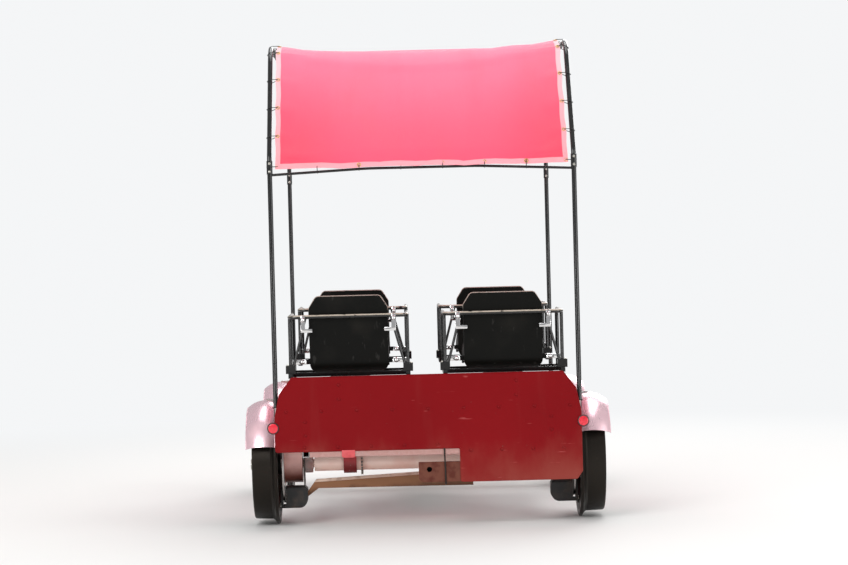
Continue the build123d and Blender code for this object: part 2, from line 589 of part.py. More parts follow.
# Cranks and pedals. The angle is that of the inner arm from straight down.
crank_table = [  # row, side, crank_y, axle_y, angle
    ("rear", "left", REAR_CRANK_Y, REAR_AXLE_Y, 60),
    ("rear", "right", REAR_CRANK_Y, REAR_AXLE_Y, -50),
    ("front", "left", FRONT_CRANK_Y, FRONT_AXLE_Y, 35),
    ("front", "right", FRONT_CRANK_Y, FRONT_AXLE_Y, 75),
]
chains = {"rear": [], "front": []}
for row, side, crank_y, axle_y, angle in crank_table:
    sign = SIDES[side]

    def place(shape):
        turned = shape if sign > 0 else mirrored(shape)
        return Pos(sign * SEAT_X, crank_y, CRANK_Z) * turned
    write(f"{row}_{side}_crank", place(crank(angle)))
    write(f"{row}_{side}_pedals", *[place(pedal) for pedal in pedals(angle)])
    chains[row].append(chain(sign * (SEAT_X - RING_OFFSET), crank_y, axle_y))
for row, loops in chains.items():
    write(f"{row}_chains", *loops)

# Hand brake lever beside the rear left seat
lever_foot, lever_top = (-555, -730, FRAME_TOP), (-640, -755, 720)
lever = rod(lever_foot, lever_top, 8)
lever -= box((-600, -500), (-800, -700), (FRAME_TOP - 30, FRAME_TOP))
write("brake_lever", lever)
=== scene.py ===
import bmesh
import bpy
from math import acos, atan2, cos, hypot, pi, radians, sin
from mathutils import Matrix, Vector, noise


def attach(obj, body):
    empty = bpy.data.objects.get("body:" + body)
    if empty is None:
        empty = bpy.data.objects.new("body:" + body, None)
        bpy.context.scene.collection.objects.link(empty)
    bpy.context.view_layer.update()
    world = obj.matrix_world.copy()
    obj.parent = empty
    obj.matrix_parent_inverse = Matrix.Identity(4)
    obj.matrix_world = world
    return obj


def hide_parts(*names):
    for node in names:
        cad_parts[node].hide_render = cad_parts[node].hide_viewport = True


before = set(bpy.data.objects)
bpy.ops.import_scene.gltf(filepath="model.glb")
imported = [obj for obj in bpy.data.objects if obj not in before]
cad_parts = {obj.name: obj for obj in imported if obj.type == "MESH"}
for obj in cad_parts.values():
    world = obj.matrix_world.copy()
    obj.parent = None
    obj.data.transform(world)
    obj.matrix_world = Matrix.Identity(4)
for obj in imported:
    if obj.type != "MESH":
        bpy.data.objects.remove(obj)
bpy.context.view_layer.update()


# Chassis: a ladder of rectangular steel tube, welded and hot-dip galvanised.
# The zinc has dulled to a light grey, and reddish ballast dust lies on it.
# Plastic plugs close the tubes, and a black cup stands behind each tow hole: painted shade, so that the hole
# looks dark.
def linear(colour):
    """A colour's screen values, 0 to 255, as the shader's linear light."""
    return (*[((v / 255 + 0.055) / 1.055) ** 2.4 if v > 10 else v / 3295 for v in colour], 1)


class Wire:
    """One output of a finish's nodes, so that shader maths reads as arithmetic."""

    def __init__(self, finish, made, output=0):
        self.finish, self.made, self.socket = finish, made, made.outputs[output]

    def other(self, output):
        return Wire(self.finish, self.made, output)

    def maths(self, operation, first, second):
        return self.finish.maths(operation, first, second)

    def __add__(self, value):
        return self.maths("ADD", self, value)

    def __sub__(self, value):
        return self.maths("SUBTRACT", self, value)

    def __rsub__(self, value):
        return self.maths("SUBTRACT", value, self)

    def __mul__(self, value):
        return self.maths("MULTIPLY", self, value)

    def __pow__(self, value):
        return self.maths("POWER", self, value)

    __radd__, __rmul__ = __add__, __mul__


class Finish:
    """A material's Principled shader and the nodes that feed it."""

    def __init__(self, name, **fixed):
        self.material = bpy.data.materials.new(name)
        self.material.use_nodes = True
        self.tree = self.material.node_tree
        self.shader = self.tree.nodes["Principled BSDF"]
        self.point = self.node("TexCoord").other("Object")
        self.set(**fixed)

    def feed(self, socket, value):
        """Links a wire to a socket, or sets a value there: a colour is given as three screen values."""
        if isinstance(value, Wire):
            self.tree.links.new(value.socket, socket)
        else:
            screen = socket.type == "RGBA" and len(value) == 3
            socket.default_value = linear(value) if screen else value

    def node(self, kind, settings={}, inputs={}):
        made = self.tree.nodes.new("ShaderNode" + kind)
        for name, value in settings.items():
            setattr(made, name, value)
        for name, value in inputs.items():
            self.feed(made.inputs[name], value)
        return Wire(self, made)

    def maths(self, operation, first, second=0.0):
        return self.node("Math", {"operation": operation}, {0: first, 1: second})

    def axes(self, point=None):
        split = self.node("SeparateXYZ", {}, {0: point or self.point})
        return split, split.other(1), split.other(2)

    def noise(self, scale, detail=3.0, stretch=(1, 1, 1)):
        placed = self.node("Mapping", {}, {"Vector": self.point, "Scale": stretch})
        return self.node("TexNoise", {}, {"Vector": placed, "Scale": scale, "Detail": detail})

    def cells(self, scale):
        return self.node("TexVoronoi", {}, {"Vector": self.point, "Scale": scale})

    def step(self, value, low, high):
        """0 below low, 1 above high, and a smooth rise between."""
        return self.node("MapRange", {"interpolation_type": "SMOOTHSTEP"},
                         {"Value": value, "From Min": low, "From Max": high})

    def mix(self, share, first, second):
        made = self.node("Mix", {"data_type": "RGBA"}, {0: share, 6: first, 7: second})
        return made.other(2)

    def relief(self, height, depth, strength=1.0):
        """Bump of a depth in metres, on what the shader's normal has already."""
        inputs = {"Height": height, "Distance": depth, "Strength": strength}
        if self.shader.inputs["Normal"].is_linked:
            socket = self.shader.inputs["Normal"].links[0].from_socket
            inputs["Normal"] = Wire(self, socket.node)
        self.feed(self.shader.inputs["Normal"], self.node("Bump", {}, inputs))

    def set(self, **sockets):
        for words, value in sockets.items():
            self.feed(self.shader.inputs[words.replace("_", " ")], value)


def coat(finish, *nodes):
    for name in nodes:
        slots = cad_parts[name].data.materials
        slots.clear()
        slots.append(finish.material)


DUST = (180, 116, 104)


def galvanised_finish(name="galvanised steel", dusty=0.0):
    zinc = Finish(name, Specular_IOR_Level=0.4)
    spangle = zinc.cells(110).other("Color")
    dust = zinc.step(zinc.noise(5, 6) + 0.25 * zinc.noise(70, 2) + dusty, 0.46, 0.82)
    plain = zinc.mix(spangle, (160, 161, 162), (186, 187, 187))
    zinc.set(Base_Color=zinc.mix(dust * (0.5 + dusty), plain, DUST), Metallic=0.55 - 0.5 * dust,
             Roughness=0.38 + 0.3 * dust + 0.12 * zinc.noise(60))
    zinc.relief(zinc.noise(240, 5), 0.0002, 0.5)
    return zinc


galvanised, dusty_zinc = galvanised_finish(), galvanised_finish("dusty galvanised steel", 0.20)
coat(dusty_zinc, "end_beams", "rear_axle_bearings", "front_axle_bearings")
coat(galvanised, "left_side_rail", "right_side_rail", "cross_beams", "rear_uprights",
     "rear_shoulder_beam", "front_outriggers", "crank_beams", "rear_panel_stays", "fender_stays",
     "seat_posts", "crank_brackets")


def mottled(name, patches, dark, light, rough, grain=None, **fixed):
    """Two shades mixed by noise; rough is the least roughness, its rise and the scale of its noise."""
    finish = Finish(name, **fixed)
    finish.set(Base_Color=finish.mix(finish.noise(patches), dark, light),
               Roughness=rough[0] + rough[1] * finish.noise(rough[2]))
    if grain:
        finish.relief(finish.noise(grain[0], 2), *grain[1:])
    return finish


def patchy(name, patches, edges, fresh, old, rough, share=None, metal=None, grain=None, **fixed):
    """A fresh shade with an old one over it in patches, which are rougher and less metallic."""
    finish = Finish(name, **fixed)
    patch = finish.step(finish.noise(*patches), *edges)
    finish.set(Base_Color=finish.mix(patch * share if share else patch, fresh, old),
               Roughness=rough[0] + rough[1] * patch)
    if metal:
        finish.set(Metallic=metal[0] - metal[1] * patch)
    if grain:
        finish.relief(finish.noise(*grain[:2]), *grain[2:])
    return finish


tow_steel = patchy("weathered tow plate steel", (26, 6), (0.42, 0.68), (110, 64, 50), (86, 38, 27),
                   (0.55, 0.25), metal=(0.35, 0.35), grain=(220, 4, 0.0003, 0.6), Specular_IOR_Level=0.3)
coat(tow_steel, "rear_tow_plate", "front_tow_plate")


def alone(piece):
    bpy.ops.object.select_all(action="DESELECT")
    piece.select_set(True)
    bpy.context.view_layer.objects.active = piece


def begin(name, add, **sizes):
    """Adds a primitive with nothing else selected, and names it."""
    bpy.ops.object.select_all(action="DESELECT")
    add(**sizes)
    piece = bpy.context.object
    piece.name = piece.data.name = name
    return piece


def pick(piece, mode, test):
    """In edit mode, selects the faces, edges or points whose middle (and normal) pass the test."""
    if piece.mode != "EDIT":
        alone(piece)
        bpy.ops.object.mode_set(mode="EDIT")
    bpy.ops.mesh.select_mode(type=mode)
    bpy.ops.mesh.select_all(action="DESELECT")
    shape = bmesh.from_edit_mesh(piece.data)
    if mode == "FACE":
        for face in shape.faces:
            face.select_set(bool(test(face.calc_center_median(), face.normal)))
    elif mode == "EDGE":
        for edge in shape.edges:
            ends = [v.co for v in edge.verts]
            edge.select_set(bool(test((ends[0] + ends[1]) / 2, (ends[1] - ends[0]).normalized())))
    else:
        for point in shape.verts:
            point.select_set(bool(test(point.co, point.normal)))
    shape.select_flush_mode()
    bmesh.update_edit_mesh(piece.data)


def leave(piece):
    if piece.mode == "EDIT":
        bpy.ops.object.mode_set(mode="OBJECT")


def modify(piece, kind, **settings):
    leave(piece)
    alone(piece)
    made = piece.modifiers.new(kind.lower(), kind)
    for name, value in settings.items():
        setattr(made, name, value)
    bpy.ops.object.modifier_apply(modifier=made.name)


def bevel(piece, width, segments):
    modify(piece, "BEVEL", width=width, segments=segments, limit_method="ANGLE")


def extrude(*move):
    bpy.ops.mesh.extrude_region_move(TRANSFORM_OT_translate={"value": move})


def drum(sides, radius, height, base=0.0, **more):
    """Cylinder that stands up from its base, which is so far above the origin."""
    piece = begin("drum", bpy.ops.mesh.primitive_cylinder_add, vertices=sides, radius=radius, depth=height,
                  location=(0, 0, base + height / 2), **more)
    bpy.ops.object.transform_apply(location=True)
    return piece


def block(name, sizes, place, turn=0.0):
    """Box of three sizes round a place, turned about +Z."""
    piece = begin(name, bpy.ops.mesh.primitive_cube_add, size=1, location=place, rotation=(0, 0, turn))
    piece.scale = sizes
    bpy.ops.object.transform_apply(location=True, rotation=True, scale=True)
    return piece


def settle(piece, finish, angle=35, body="chassis"):
    """Puts a piece's place into its mesh, and gives it its finish and its body."""
    leave(piece)
    alone(piece)
    bpy.ops.object.transform_apply(location=True, rotation=True, scale=True)
    bpy.ops.object.shade_smooth_by_angle(angle=radians(angle))
    piece.data.materials.clear()
    piece.data.materials.append(finish.material)
    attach(piece, body)
    return piece


def joined(name, parts):
    bpy.ops.object.select_all(action="DESELECT")
    for part in parts:
        part.select_set(True)
    bpy.context.view_layer.objects.active = parts[0]
    if len(parts) > 1:
        bpy.ops.object.join()
    parts[0].name = parts[0].data.name = name
    return parts[0]


def copied(model, place):
    one = model.copy()
    one.data = model.data.copy()
    bpy.context.collection.objects.link(one)
    one.matrix_world = place
    return one


def set_out(model, name, spots):
    """Copies a modelled piece to each spot, a point and the way that its +Z looks, and joins them."""
    leave(model)
    made = []
    for point, way in spots:
        turn = Vector((0, 0, 1)).rotation_difference(Vector(way)).to_matrix().to_4x4()
        made.append(copied(model, Matrix.Translation(point) @ turn @ model.matrix_world))
    bpy.data.objects.remove(model)
    return joined(name, made)


def fit(name, model, spots, finish, angle=35, body="chassis"):
    """Sets a modelled piece out on its spots and settles it."""
    return settle(set_out(model, name, spots), finish, angle, body)


def both_sides(x, alongs, z, way):
    """Spots on both sides of the car, at places along it; the way that they look is the right side's."""
    return [((side * x, y, z), (side * way[0], *way[1:])) for side in (-1, 1) for y in alongs]


def weld_run(length, bead):
    """Rippled straight bead that stands up from its origin."""
    ripple = 0.004
    steps = int(length / ripple)
    run = begin("weld model", bpy.ops.mesh.primitive_grid_add, x_subdivisions=6, y_subdivisions=steps, size=1)
    for point in run.data.vertices:
        turn, up = (point.co.x + 0.5) * 2 * pi, (point.co.y + 0.5) * length
        size = bead * (0.82 + 0.25 * abs(sin(up / ripple * pi / 2)))
        point.co = Vector((cos(turn) * size, sin(turn) * size, up))
    modify(run, "WELD", merge_threshold=0.0001)
    return run


weld_metal = mottled("weld metal", 90, (120, 117, 112), (168, 166, 163), (0.45, 0.2, 200), Metallic=0.7)
RAIL_X, RAIL_LOW, RAIL_TOP = 0.540, 0.330, 0.390
BEAMS = (-1.206, -1.000, -0.450, 0.180, 0.560, 1.212)
corner_welds = both_sides(RAIL_X, [y + edge for y in BEAMS for edge in (-0.020, 0.020)], RAIL_LOW, (0, 0, 1))
fit("frame_corner_welds", weld_run(RAIL_TOP - RAIL_LOW, 0.0028), corner_welds, weld_metal)


def shade_cup(depth):
    """Deep black cup behind a tow hole, painted shade so that the hole looks dark; its mouth looks along +Z.
    """
    cup = drum(32, 0.0165, depth, -depth)
    pick(cup, "FACE", lambda middle, normal: normal.z > 0.9)
    bpy.ops.mesh.inset(thickness=0.0040)
    extrude(0, 0, 0.004 - depth)
    leave(cup)
    return cup


# The cups' near-black steel is painted shade for the tow holes.
pitch = mottled("black shade cup steel", 60, (16, 14, 13), (36, 30, 26), (0.5, 0.2, 90), Specular_IOR_Level=0.2)
TOW_HOLES = [((0, -1.214, 0.262), (0, -1, 0)), ((0, 1.220, 0.262), (0, 1, 0))]
fit("tow_hole_shade_cups", shade_cup(0.045), TOW_HOLES, pitch, 40)


def tube_plug(width):
    """Plastic end cap of a square tube, its pillow face looking along +Z."""
    plug = block("plug", (width, width, 0.003), (0, 0, 0.0015))
    bevel(plug, 0.0014, 3)
    pick(plug, "FACE", lambda middle, normal: normal.z > 0.99)
    bpy.ops.mesh.inset(thickness=0.006)
    bpy.ops.transform.translate(value=(0, 0, 0.0012))
    leave(plug)
    return plug


plug_black = mottled("black plug plastic", 30, (26, 26, 27), (44, 42, 41), (0.5, 0.15, 80),
                     (700, 0.00006, 0.6), Specular_IOR_Level=0.4)
shoulder_ends = both_sides(0.690, [-1.206], 0.537, (1, 0, 0))
fit("shoulder_beam_plugs", tube_plug(0.0396), shoulder_ends, plug_black)


# Axle bearings: galvanised blocks bolted up under the side rails, each with a
# screwed cover ring on its inner side.
AXLE_Z, REAR_AXLE_Y, FRONT_AXLE_Y = 0.276, -0.890, 0.640


def bolt_head(across, height):
    """Hexagon head with a chamfered top on a round washer, standing on its origin."""
    head = drum(6, across * 0.577, height, 0.0015)
    bevel(head, height * 0.16, 2)
    washer = drum(20, across, 0.0016)
    bevel(washer, 0.0004, 1)
    return joined("bolt", [head, washer])


def bolt_down(name, across, height, spots, body="chassis"):
    """Zinc plated bolts or screws of one size, set out on their spots."""
    fit(name, bolt_head(across, height), spots, bolt_zinc, body=body)


def edges_out(move=(0, 0, 0), scale=1.0):
    bpy.ops.mesh.extrude_edges_move(TRANSFORM_OT_translate={"value": move})
    bpy.ops.transform.resize(value=(scale, scale, 1))


def bearing_cover():
    """Round cover with a raised lip and a bore for the shaft, on the bearing's inner side."""
    cover = drum(40, 0.0435, 0.0045, end_fill_type="NOTHING")
    pick(cover, "EDGE", lambda middle, way: middle.z > 0.004)
    edges_out(scale=0.945)
    edges_out((0, 0, -0.002))
    edges_out(scale=0.94 * 0.62)
    edges_out((0, 0, -0.0025))
    leave(cover)
    return cover


def round_spots(x, y, z, radius, count, start, out):
    """Spots round an axis along X, looking out to one side."""
    turns = [start + 2 * pi * k / count for k in range(count)]
    return [((x, y + radius * cos(turn), z + radius * sin(turn)), (out, 0, 0)) for turn in turns]


bolt_zinc = patchy("zinc plated bolts", (60, 4), (0.5, 0.8), (206, 204, 196), (146, 128, 108), (0.26, 0.35),
                   grain=(900, 2, 0.00005, 0.5), Metallic=1.0)
AXLES_Y = {"rear": REAR_AXLE_Y, "front": FRONT_AXLE_Y}
bearings = [(side, y) for y in AXLES_Y.values() for side in (-1, 1)]
cover_spots = [((side * RAIL_X, y, AXLE_Z), (-side, 0, 0)) for side, y in bearings]
cover_screws = [spot for side, y in bearings
                for spot in round_spots(side * (RAIL_X - 0.002), y, AXLE_Z, 0.036, 4, pi / 4, -side)]
base_bolts = [((side * (RAIL_X + 0.015), y + offset, RAIL_LOW - 0.014), (0, 0, -1))
              for side, y in bearings for offset in (-0.055, 0.055)]
fit("bearing_covers", bearing_cover(), cover_spots, dusty_zinc)
bolt_down("bearing_cover_screws", 0.007, 0.003, cover_screws)
bolt_down("bearing_base_bolts", 0.017, 0.008, base_bolts)


# Axles: drawn steel tube over a through shaft, ground bright and lightly oiled,
# with a sprocket for each rider. Fine grinding lines run round the tube.


def turned_finish():
    steel = Finish("ground axle steel")
    up = steel.axes()[2]
    lines = steel.noise(900, 2, (1, 0.02, 0.02))
    # Oil film from noise, plus painted shade: the mask also darkens the steel below the axle's middle.
    film_and_underside_shade = steel.step(steel.noise(9, 5) + 3.5 * (AXLE_Z - up), 0.42, 0.75)
    steel.set(Base_Color=steel.mix(film_and_underside_shade * 0.5, (255, 225, 213), (238, 176, 160)),
              Metallic=0.12 - 0.06 * film_and_underside_shade, Roughness=0.24 + 0.12 * lines + 0.25 * film_and_underside_shade)
    steel.relief(lines, 0.00005, 0.5)
    return steel


ground_steel = turned_finish()
coat(ground_steel, "rear_axle", "front_axle")


# Rail wheels: cast steel, machined on tread and flange, painted black elsewhere.
# The running faces are polished by the rails, the dish holds brown dust.


def wheel_finish(row, axle_y):
    iron = Finish(f"{row} wheel iron", Specular_IOR_Level=0.25)
    along, up = iron.axes()[1:]
    radius = ((along - axle_y) ** 2 + (up - AXLE_Z) ** 2) ** 0.5
    bright = iron.step(radius, 0.2478, 0.2494) * (1 - 0.35 * iron.step(iron.noise(70, 4), 0.5, 0.75))
    grime = iron.step(iron.noise(11, 6) + 0.2 * iron.noise(120, 2), 0.55, 0.85)
    chips = iron.step(iron.noise(130, 5), 0.70, 0.73) * (1 - bright)
    paint = iron.mix(grime * 0.6, (14, 12, 9), (80, 62, 48))
    paint = iron.mix(chips * 0.8, paint, (104, 74, 56))
    iron.set(Base_Color=iron.mix(bright, paint, (42, 38, 34)), Metallic=bright * 0.8,
             Roughness=0.48 - 0.12 * bright + 0.15 * grime)
    iron.relief(iron.noise(300, 4) * (1 - bright), 0.0004, 0.6)
    return iron


for row, y in AXLES_Y.items():
    coat(wheel_finish(row, y), f"{row}_left_wheel", f"{row}_right_wheel")


def stub_nut():
    """Six-sided nut with rounded corners and a shallow recess in its crown, on a thick washer at the shaft's
    end.
    """
    nut = drum(48, 0.027, 0.009, 0.002)
    for point in nut.data.vertices:
        turn = (atan2(point.co.y, point.co.x) + pi / 6) % (pi / 3) - pi / 6
        size = min(0.0235 / cos(turn), 0.0268) / hypot(point.co.x, point.co.y)
        point.co.x, point.co.y = point.co.x * size, point.co.y * size
    pick(nut, "FACE", lambda middle, normal: normal.z > 0.9)
    bpy.ops.mesh.inset(thickness=0.004)
    extrude(0, 0, -0.002)
    leave(nut)
    washer = drum(48, 0.034, 0.002)
    bevel(washer, 0.0006, 2)
    return joined("nut", [nut, washer])


WHEEL_HUB_FACE, WHEEL_DISH_FACE = 0.812, 0.752
for row, y in AXLES_Y.items():
    spots = both_sides(WHEEL_HUB_FACE, [y], AXLE_Z, (1, 0, 0))
    fit(f"{row}_axle_nuts", stub_nut(), spots, bolt_zinc, body=f"{row}_wheelset")
    bolts = [spot for side in (-1, 1)
             for spot in round_spots(side * WHEEL_DISH_FACE, y, AXLE_Z, 0.067, 8, 0, side)]
    bolt_down(f"{row}_wheel_bolts", 0.013, 0.0065, bolts, f"{row}_wheelset")


# Brakes: steel discs on the rear axle with swept bright faces, calipers bolted to
# the side rails, the flat bar that ties the left caliper to the frame, and a thin
# rod that runs down from the panel's edge and forward to the bar.


def cast_black_finish():
    cast = Finish("black painted castings", Specular_IOR_Level=0.45)
    grime = cast.step(cast.noise(14, 5), 0.45, 0.75)
    bare = cast.step(cast.noise(150, 4), 0.70, 0.76)
    cast.set(Base_Color=cast.mix(bare * 0.7, cast.mix(grime * 0.6, (27, 27, 28), (92, 76, 66)),
                                 (128, 122, 116)),
             Metallic=bare * 0.7, Roughness=0.46 + 0.3 * grime)
    cast.relief(cast.noise(420, 3), 0.0004, 0.5)
    return cast


def disc_finish():
    disc = Finish("brake disc steel", Metallic=1.0)
    along, up = disc.axes()[1:]
    radius = ((along - REAR_AXLE_Y) ** 2 + (up - AXLE_Z) ** 2) ** 0.5
    grooves = disc.node("TexNoise", {"noise_dimensions": "1D"}, {"W": radius, "Scale": 2200, "Detail": 2})
    swept = disc.step(radius, 0.098, 0.102)
    hub = 1 - disc.step(radius, 0.0878, 0.0895)
    # The hub is painted light pink above the axle and dark red below it: painted light and painted shade.
    low = disc.step(AXLE_Z - up + 0.03 * disc.noise(22, 4), -0.04, 0.075)
    dust = disc.step(disc.noise(14, 5), 0.35, 0.7) * (1 - swept)
    steel = disc.mix(dust * 0.8, disc.mix(grooves, (176, 172, 170), (214, 210, 206)), (206, 146, 134))
    disc.set(Base_Color=disc.mix(hub, steel, disc.mix(low, (255, 204, 196), (122, 72, 62))),
             Metallic=(1 - 0.7 * dust) * (1 - 0.85 * hub), Roughness=0.24 + 0.14 * grooves + 0.3 * dust)
    disc.relief(grooves * swept, 0.0001, 0.6)
    return disc


cast_black = cast_black_finish()
coat(cast_black, "brake_calipers")
coat(disc_finish(), "rear_brake_discs")


def plain_steel_finish():
    steel = Finish("drawn flat steel", Metallic=1.0)
    across, along, up = steel.axes()
    # Forward of y -0.959 the bar is painted near white: a painted highlight on its bevelled edge.
    painted_highlight = steel.step(along, -0.9598, -0.9590) * (1 - 0.35 * steel.step(steel.noise(30, 4), 0.5, 0.7))
    # Soot from noise, plus painted shade that darkens the bar below about 0.184 m.
    soot_and_low_shade = steel.step(steel.noise(12, 5) + 14 * (0.184 - up + 0.045 * across), 0.35, 0.85)
    lines = steel.noise(500, 2, (0.04, 1, 1))
    face = steel.mix(soot_and_low_shade * 0.8, (150, 104, 72), (84, 52, 34))
    steel.set(Base_Color=steel.mix(painted_highlight, face, (255, 228, 208)), Metallic=0.15,
              Roughness=0.6 - 0.25 * painted_highlight + 0.12 * lines)
    steel.relief(lines, 0.00008, 0.5)
    return steel


coat(plain_steel_finish(), "brake_cross_bar")
hub_bolts = [spot for side in (-1, 1)
             for spot in round_spots(side * 0.672, REAR_AXLE_Y, AXLE_Z, 0.070, 8, pi / 8, side)]
bolt_down("brake_hub_bolts", 0.010, 0.004, hub_bolts, body="rear_wheelset")
CALIPER_Y = -0.950
caliper_bolts = [spot for x, z, apart in ((0.683, 0.092, 0.026), (0.576, 0.360, 0.018))
                 for spot in both_sides(x, (CALIPER_Y - apart, CALIPER_Y + apart), z, (1, 0, 0))]
bolt_down("caliper_bolts", 0.012, 0.006, caliper_bolts)


def beading(name, points, radius, closed=False, sides=3):
    """Round bar, rolled edge or lashing along a line of points."""
    bar = begin(name, bpy.ops.curve.primitive_nurbs_path_add)
    bar.data.splines.clear()
    line = bar.data.splines.new("POLY")
    line.points.add(len(points) - 1)
    for spot, point in zip(line.points, points):
        spot.co = (*point, 1)
    line.use_cyclic_u = closed
    bar.data.bevel_depth, bar.data.bevel_resolution, bar.data.use_fill_caps = radius, sides, not closed
    bpy.ops.object.convert(target="MESH")
    return bpy.context.object


def rounded(points, radii, closed=False, steps=6):
    """The line through these points with each corner turned to an arc of its radius."""
    points = [Vector(p) for p in points]
    line = []
    for number, corner in enumerate(points):
        radius = radii[number] if hasattr(radii, "__len__") else radii
        back = (points[number - 1] - corner).normalized()
        ahead = (points[(number + 1) % len(points)] - corner).normalized()
        half = back.angle(ahead) / 2
        if not radius or half > pi / 2 - 0.01 or not closed and number in (0, len(points) - 1):
            line.append(corner)
            continue
        centre = corner + (back + ahead).normalized() * radius / sin(half)
        first, last = (corner + way * radius * cos(half) / sin(half) - centre for way in (back, ahead))
        line += [centre + first.slerp(last, k / steps).normalized() * radius for k in range(steps + 1)]
    return line


rod_black = mottled("blackened rod steel", 50, (22, 18, 16), (52, 40, 34), (0.55, 0.2, 80),
                    (700, 0.0001, 0.5), Specular_IOR_Level=0.3)
rod_line = rounded([(0.070, -1.2294, 0.357), (0.072, -1.2294, 0.270), (0.073, -1.2300, 0.196),
                    (0.075, -1.150, 0.188), (0.080, -0.9600, 0.205)], [0, 0.04, 0.018, 0.06, 0])
settle(beading("brake_guard_rod", rod_line, 0.0036, sides=4), rod_black, 60)


# Cranksets: forged steel arms and toothed chainrings on a sealed bottom bracket,
# satin plated, and resin pedals with moulded treads and steel spindles. Each
# crank stands at its own angle, in degrees from upright.
CRANKS = {"rear_left": (-0.350, -0.210, 60), "rear_right": (0.350, -0.210, -50),
          "front_left": (-0.350, 0.965, 35), "front_right": (0.350, 0.965, 75)}
CRANK_Z, ARM_FROM, ARM_TO, ARM_LENGTH = 0.430, 0.051, 0.063, 0.165
PEDAL_FROM, PEDAL_TO, RING_BOLT_R = 0.066, 0.156, 0.076


def about(crank, outward, radius, angle):
    """A point beside a crank's middle: outward from it, and at a radius and an angle round the spindle."""
    x, y, turned = CRANKS[crank]
    turn = radians(turned + angle)
    return Vector((x + (outward if x > 0 else -outward), y - radius * sin(turn),
                   CRANK_Z + radius * cos(turn)))


def tread_pins(name):
    """Short pins in four rows along the pedals' bars, above and below."""
    pin = drum(10, 0.0019, 0.0022)
    bevel(pin, 0.0005, 1)
    spots = []
    for side in (-1, 1):
        for share in range(4):
            outward = side * (PEDAL_FROM + 0.012 + share * (PEDAL_TO - PEDAL_FROM - 0.024) / 3)
            tip = about(name, outward, ARM_LENGTH, 90 + side * 90)
            spots += [(tip + Vector((0, along, up * 0.010)), (0, 0, up))
                      for along in (-0.0405, 0.0405) for up in (-1, 1)]
    return set_out(pin, f"{name}_pedal_pins", spots)


plated_steel = patchy("plated crank steel", (40, 5), (0.5, 0.75), (172, 171, 170), (92, 80, 70), (0.27, 0.3),
                      0.7, (1, 0.4), (600, 3, 0.00006, 0.5))
pedal_resin = patchy("black pedal resin", (70, 5), (0.52, 0.7), (24, 24, 25), (96, 86, 78), (0.5, 0.25),
                     0.5, grain=(900, 2, 0.0002, 0.6), Specular_IOR_Level=0.4)
for name in CRANKS:
    coat(plated_steel, f"{name}_crank")
    coat(pedal_resin, f"{name}_pedals")
    hand = 1 if name.endswith("right") else -1
    caps = [(about(name, side * ARM_TO, 0, 0), (hand * side, 0, 0)) for side in (-1, 1)]
    ring_bolts = [(about(name, outward, RING_BOLT_R, 36 + 72 * k), (hand * way, 0, 0))
                  for outward, way in ((-0.044, -1), (-0.040, 1)) for k in range(5)]
    pedal_ends = [(about(name, side * ARM_FROM, ARM_LENGTH, 90 + side * 90), (-hand * side, 0, 0))
                  for side in (-1, 1)]
    bolts = [set_out(bolt_head(0.015, 0.006), "caps", caps),
             set_out(bolt_head(0.008, 0.003), "bolts", ring_bolts),
             set_out(bolt_head(0.009, 0.003), "ends", pedal_ends)]
    settle(joined(f"{name}_crank_bolts", bolts), bolt_zinc, body=f"{name}_crankset")
    settle(tread_pins(name), plated_steel, body=f"{name}_crankset")


# Chains: roller chain of 5/8 inch pitch, inner and outer links in turn, oiled.
# Each runs from a crank's chainring back or forward to its sprocket on the axle.
RING_LINE_R, SPROCKET_LINE_R, CHAIN_INSET = 0.0975, 0.0535, 0.042
CHAIN_PITCH, PLATE_T, PLATE_R, ROLLER_R = 0.015875, 0.0011, 0.0058, 0.0042


def link(pitch, gap, roller_r, half):
    """Two waisted plates, gap apart, across two pins or rollers; from pin to pin along +Y."""
    parts = []
    for side in (-1, 1):
        plate = drum(10, PLATE_R, PLATE_T, side * gap - PLATE_T / 2)
        pick(plate, "VERT", lambda spot, normal: spot.y > 0)
        bpy.ops.transform.translate(value=(0, pitch, 0))
        bpy.ops.mesh.select_all(action="SELECT")
        bpy.ops.mesh.bisect(plane_co=(0, pitch / 2, 0), plane_no=(0, 1, 0))
        pick(plate, "VERT", lambda spot, normal: abs(spot.y - pitch / 2) < 0.0005)
        bpy.ops.transform.resize(value=(0.72, 1, 1))
        leave(plate)
        parts.append(plate)
    for along in (0, pitch):
        roller = drum(8, roller_r, 2 * half, -half)
        roller.location.y = along
        parts.append(roller)
    return joined("link", parts)


def chain_run(crank_y, axle_y):
    """The chain's length, and its (y, z) at any distance along it."""
    ring, sprocket = Vector((crank_y, CRANK_Z)), Vector((axle_y, AXLE_Z))
    apart = sprocket - ring
    lean = atan2(apart.y, apart.x)
    wrap = acos((RING_LINE_R - SPROCKET_LINE_R) / apart.length)
    straight = (apart.length ** 2 - (RING_LINE_R - SPROCKET_LINE_R) ** 2) ** 0.5
    round_sprocket, round_ring = SPROCKET_LINE_R * 2 * wrap, RING_LINE_R * (2 * pi - 2 * wrap)

    def out(turn):
        return Vector((cos(turn), sin(turn)))

    def at(run):
        run %= 2 * straight + round_sprocket + round_ring
        if run < straight:
            first = ring + RING_LINE_R * out(lean + wrap)
            return first.lerp(sprocket + SPROCKET_LINE_R * out(lean + wrap), run / straight)
        run -= straight
        if run < round_sprocket:
            return sprocket + SPROCKET_LINE_R * out(lean + wrap - run / SPROCKET_LINE_R)
        run -= round_sprocket
        if run < straight:
            first = sprocket + SPROCKET_LINE_R * out(lean - wrap)
            return first.lerp(ring + RING_LINE_R * out(lean - wrap), run / straight)
        return ring + RING_LINE_R * out(lean - wrap - (run - straight) / RING_LINE_R)

    return 2 * straight + round_sprocket + round_ring, at


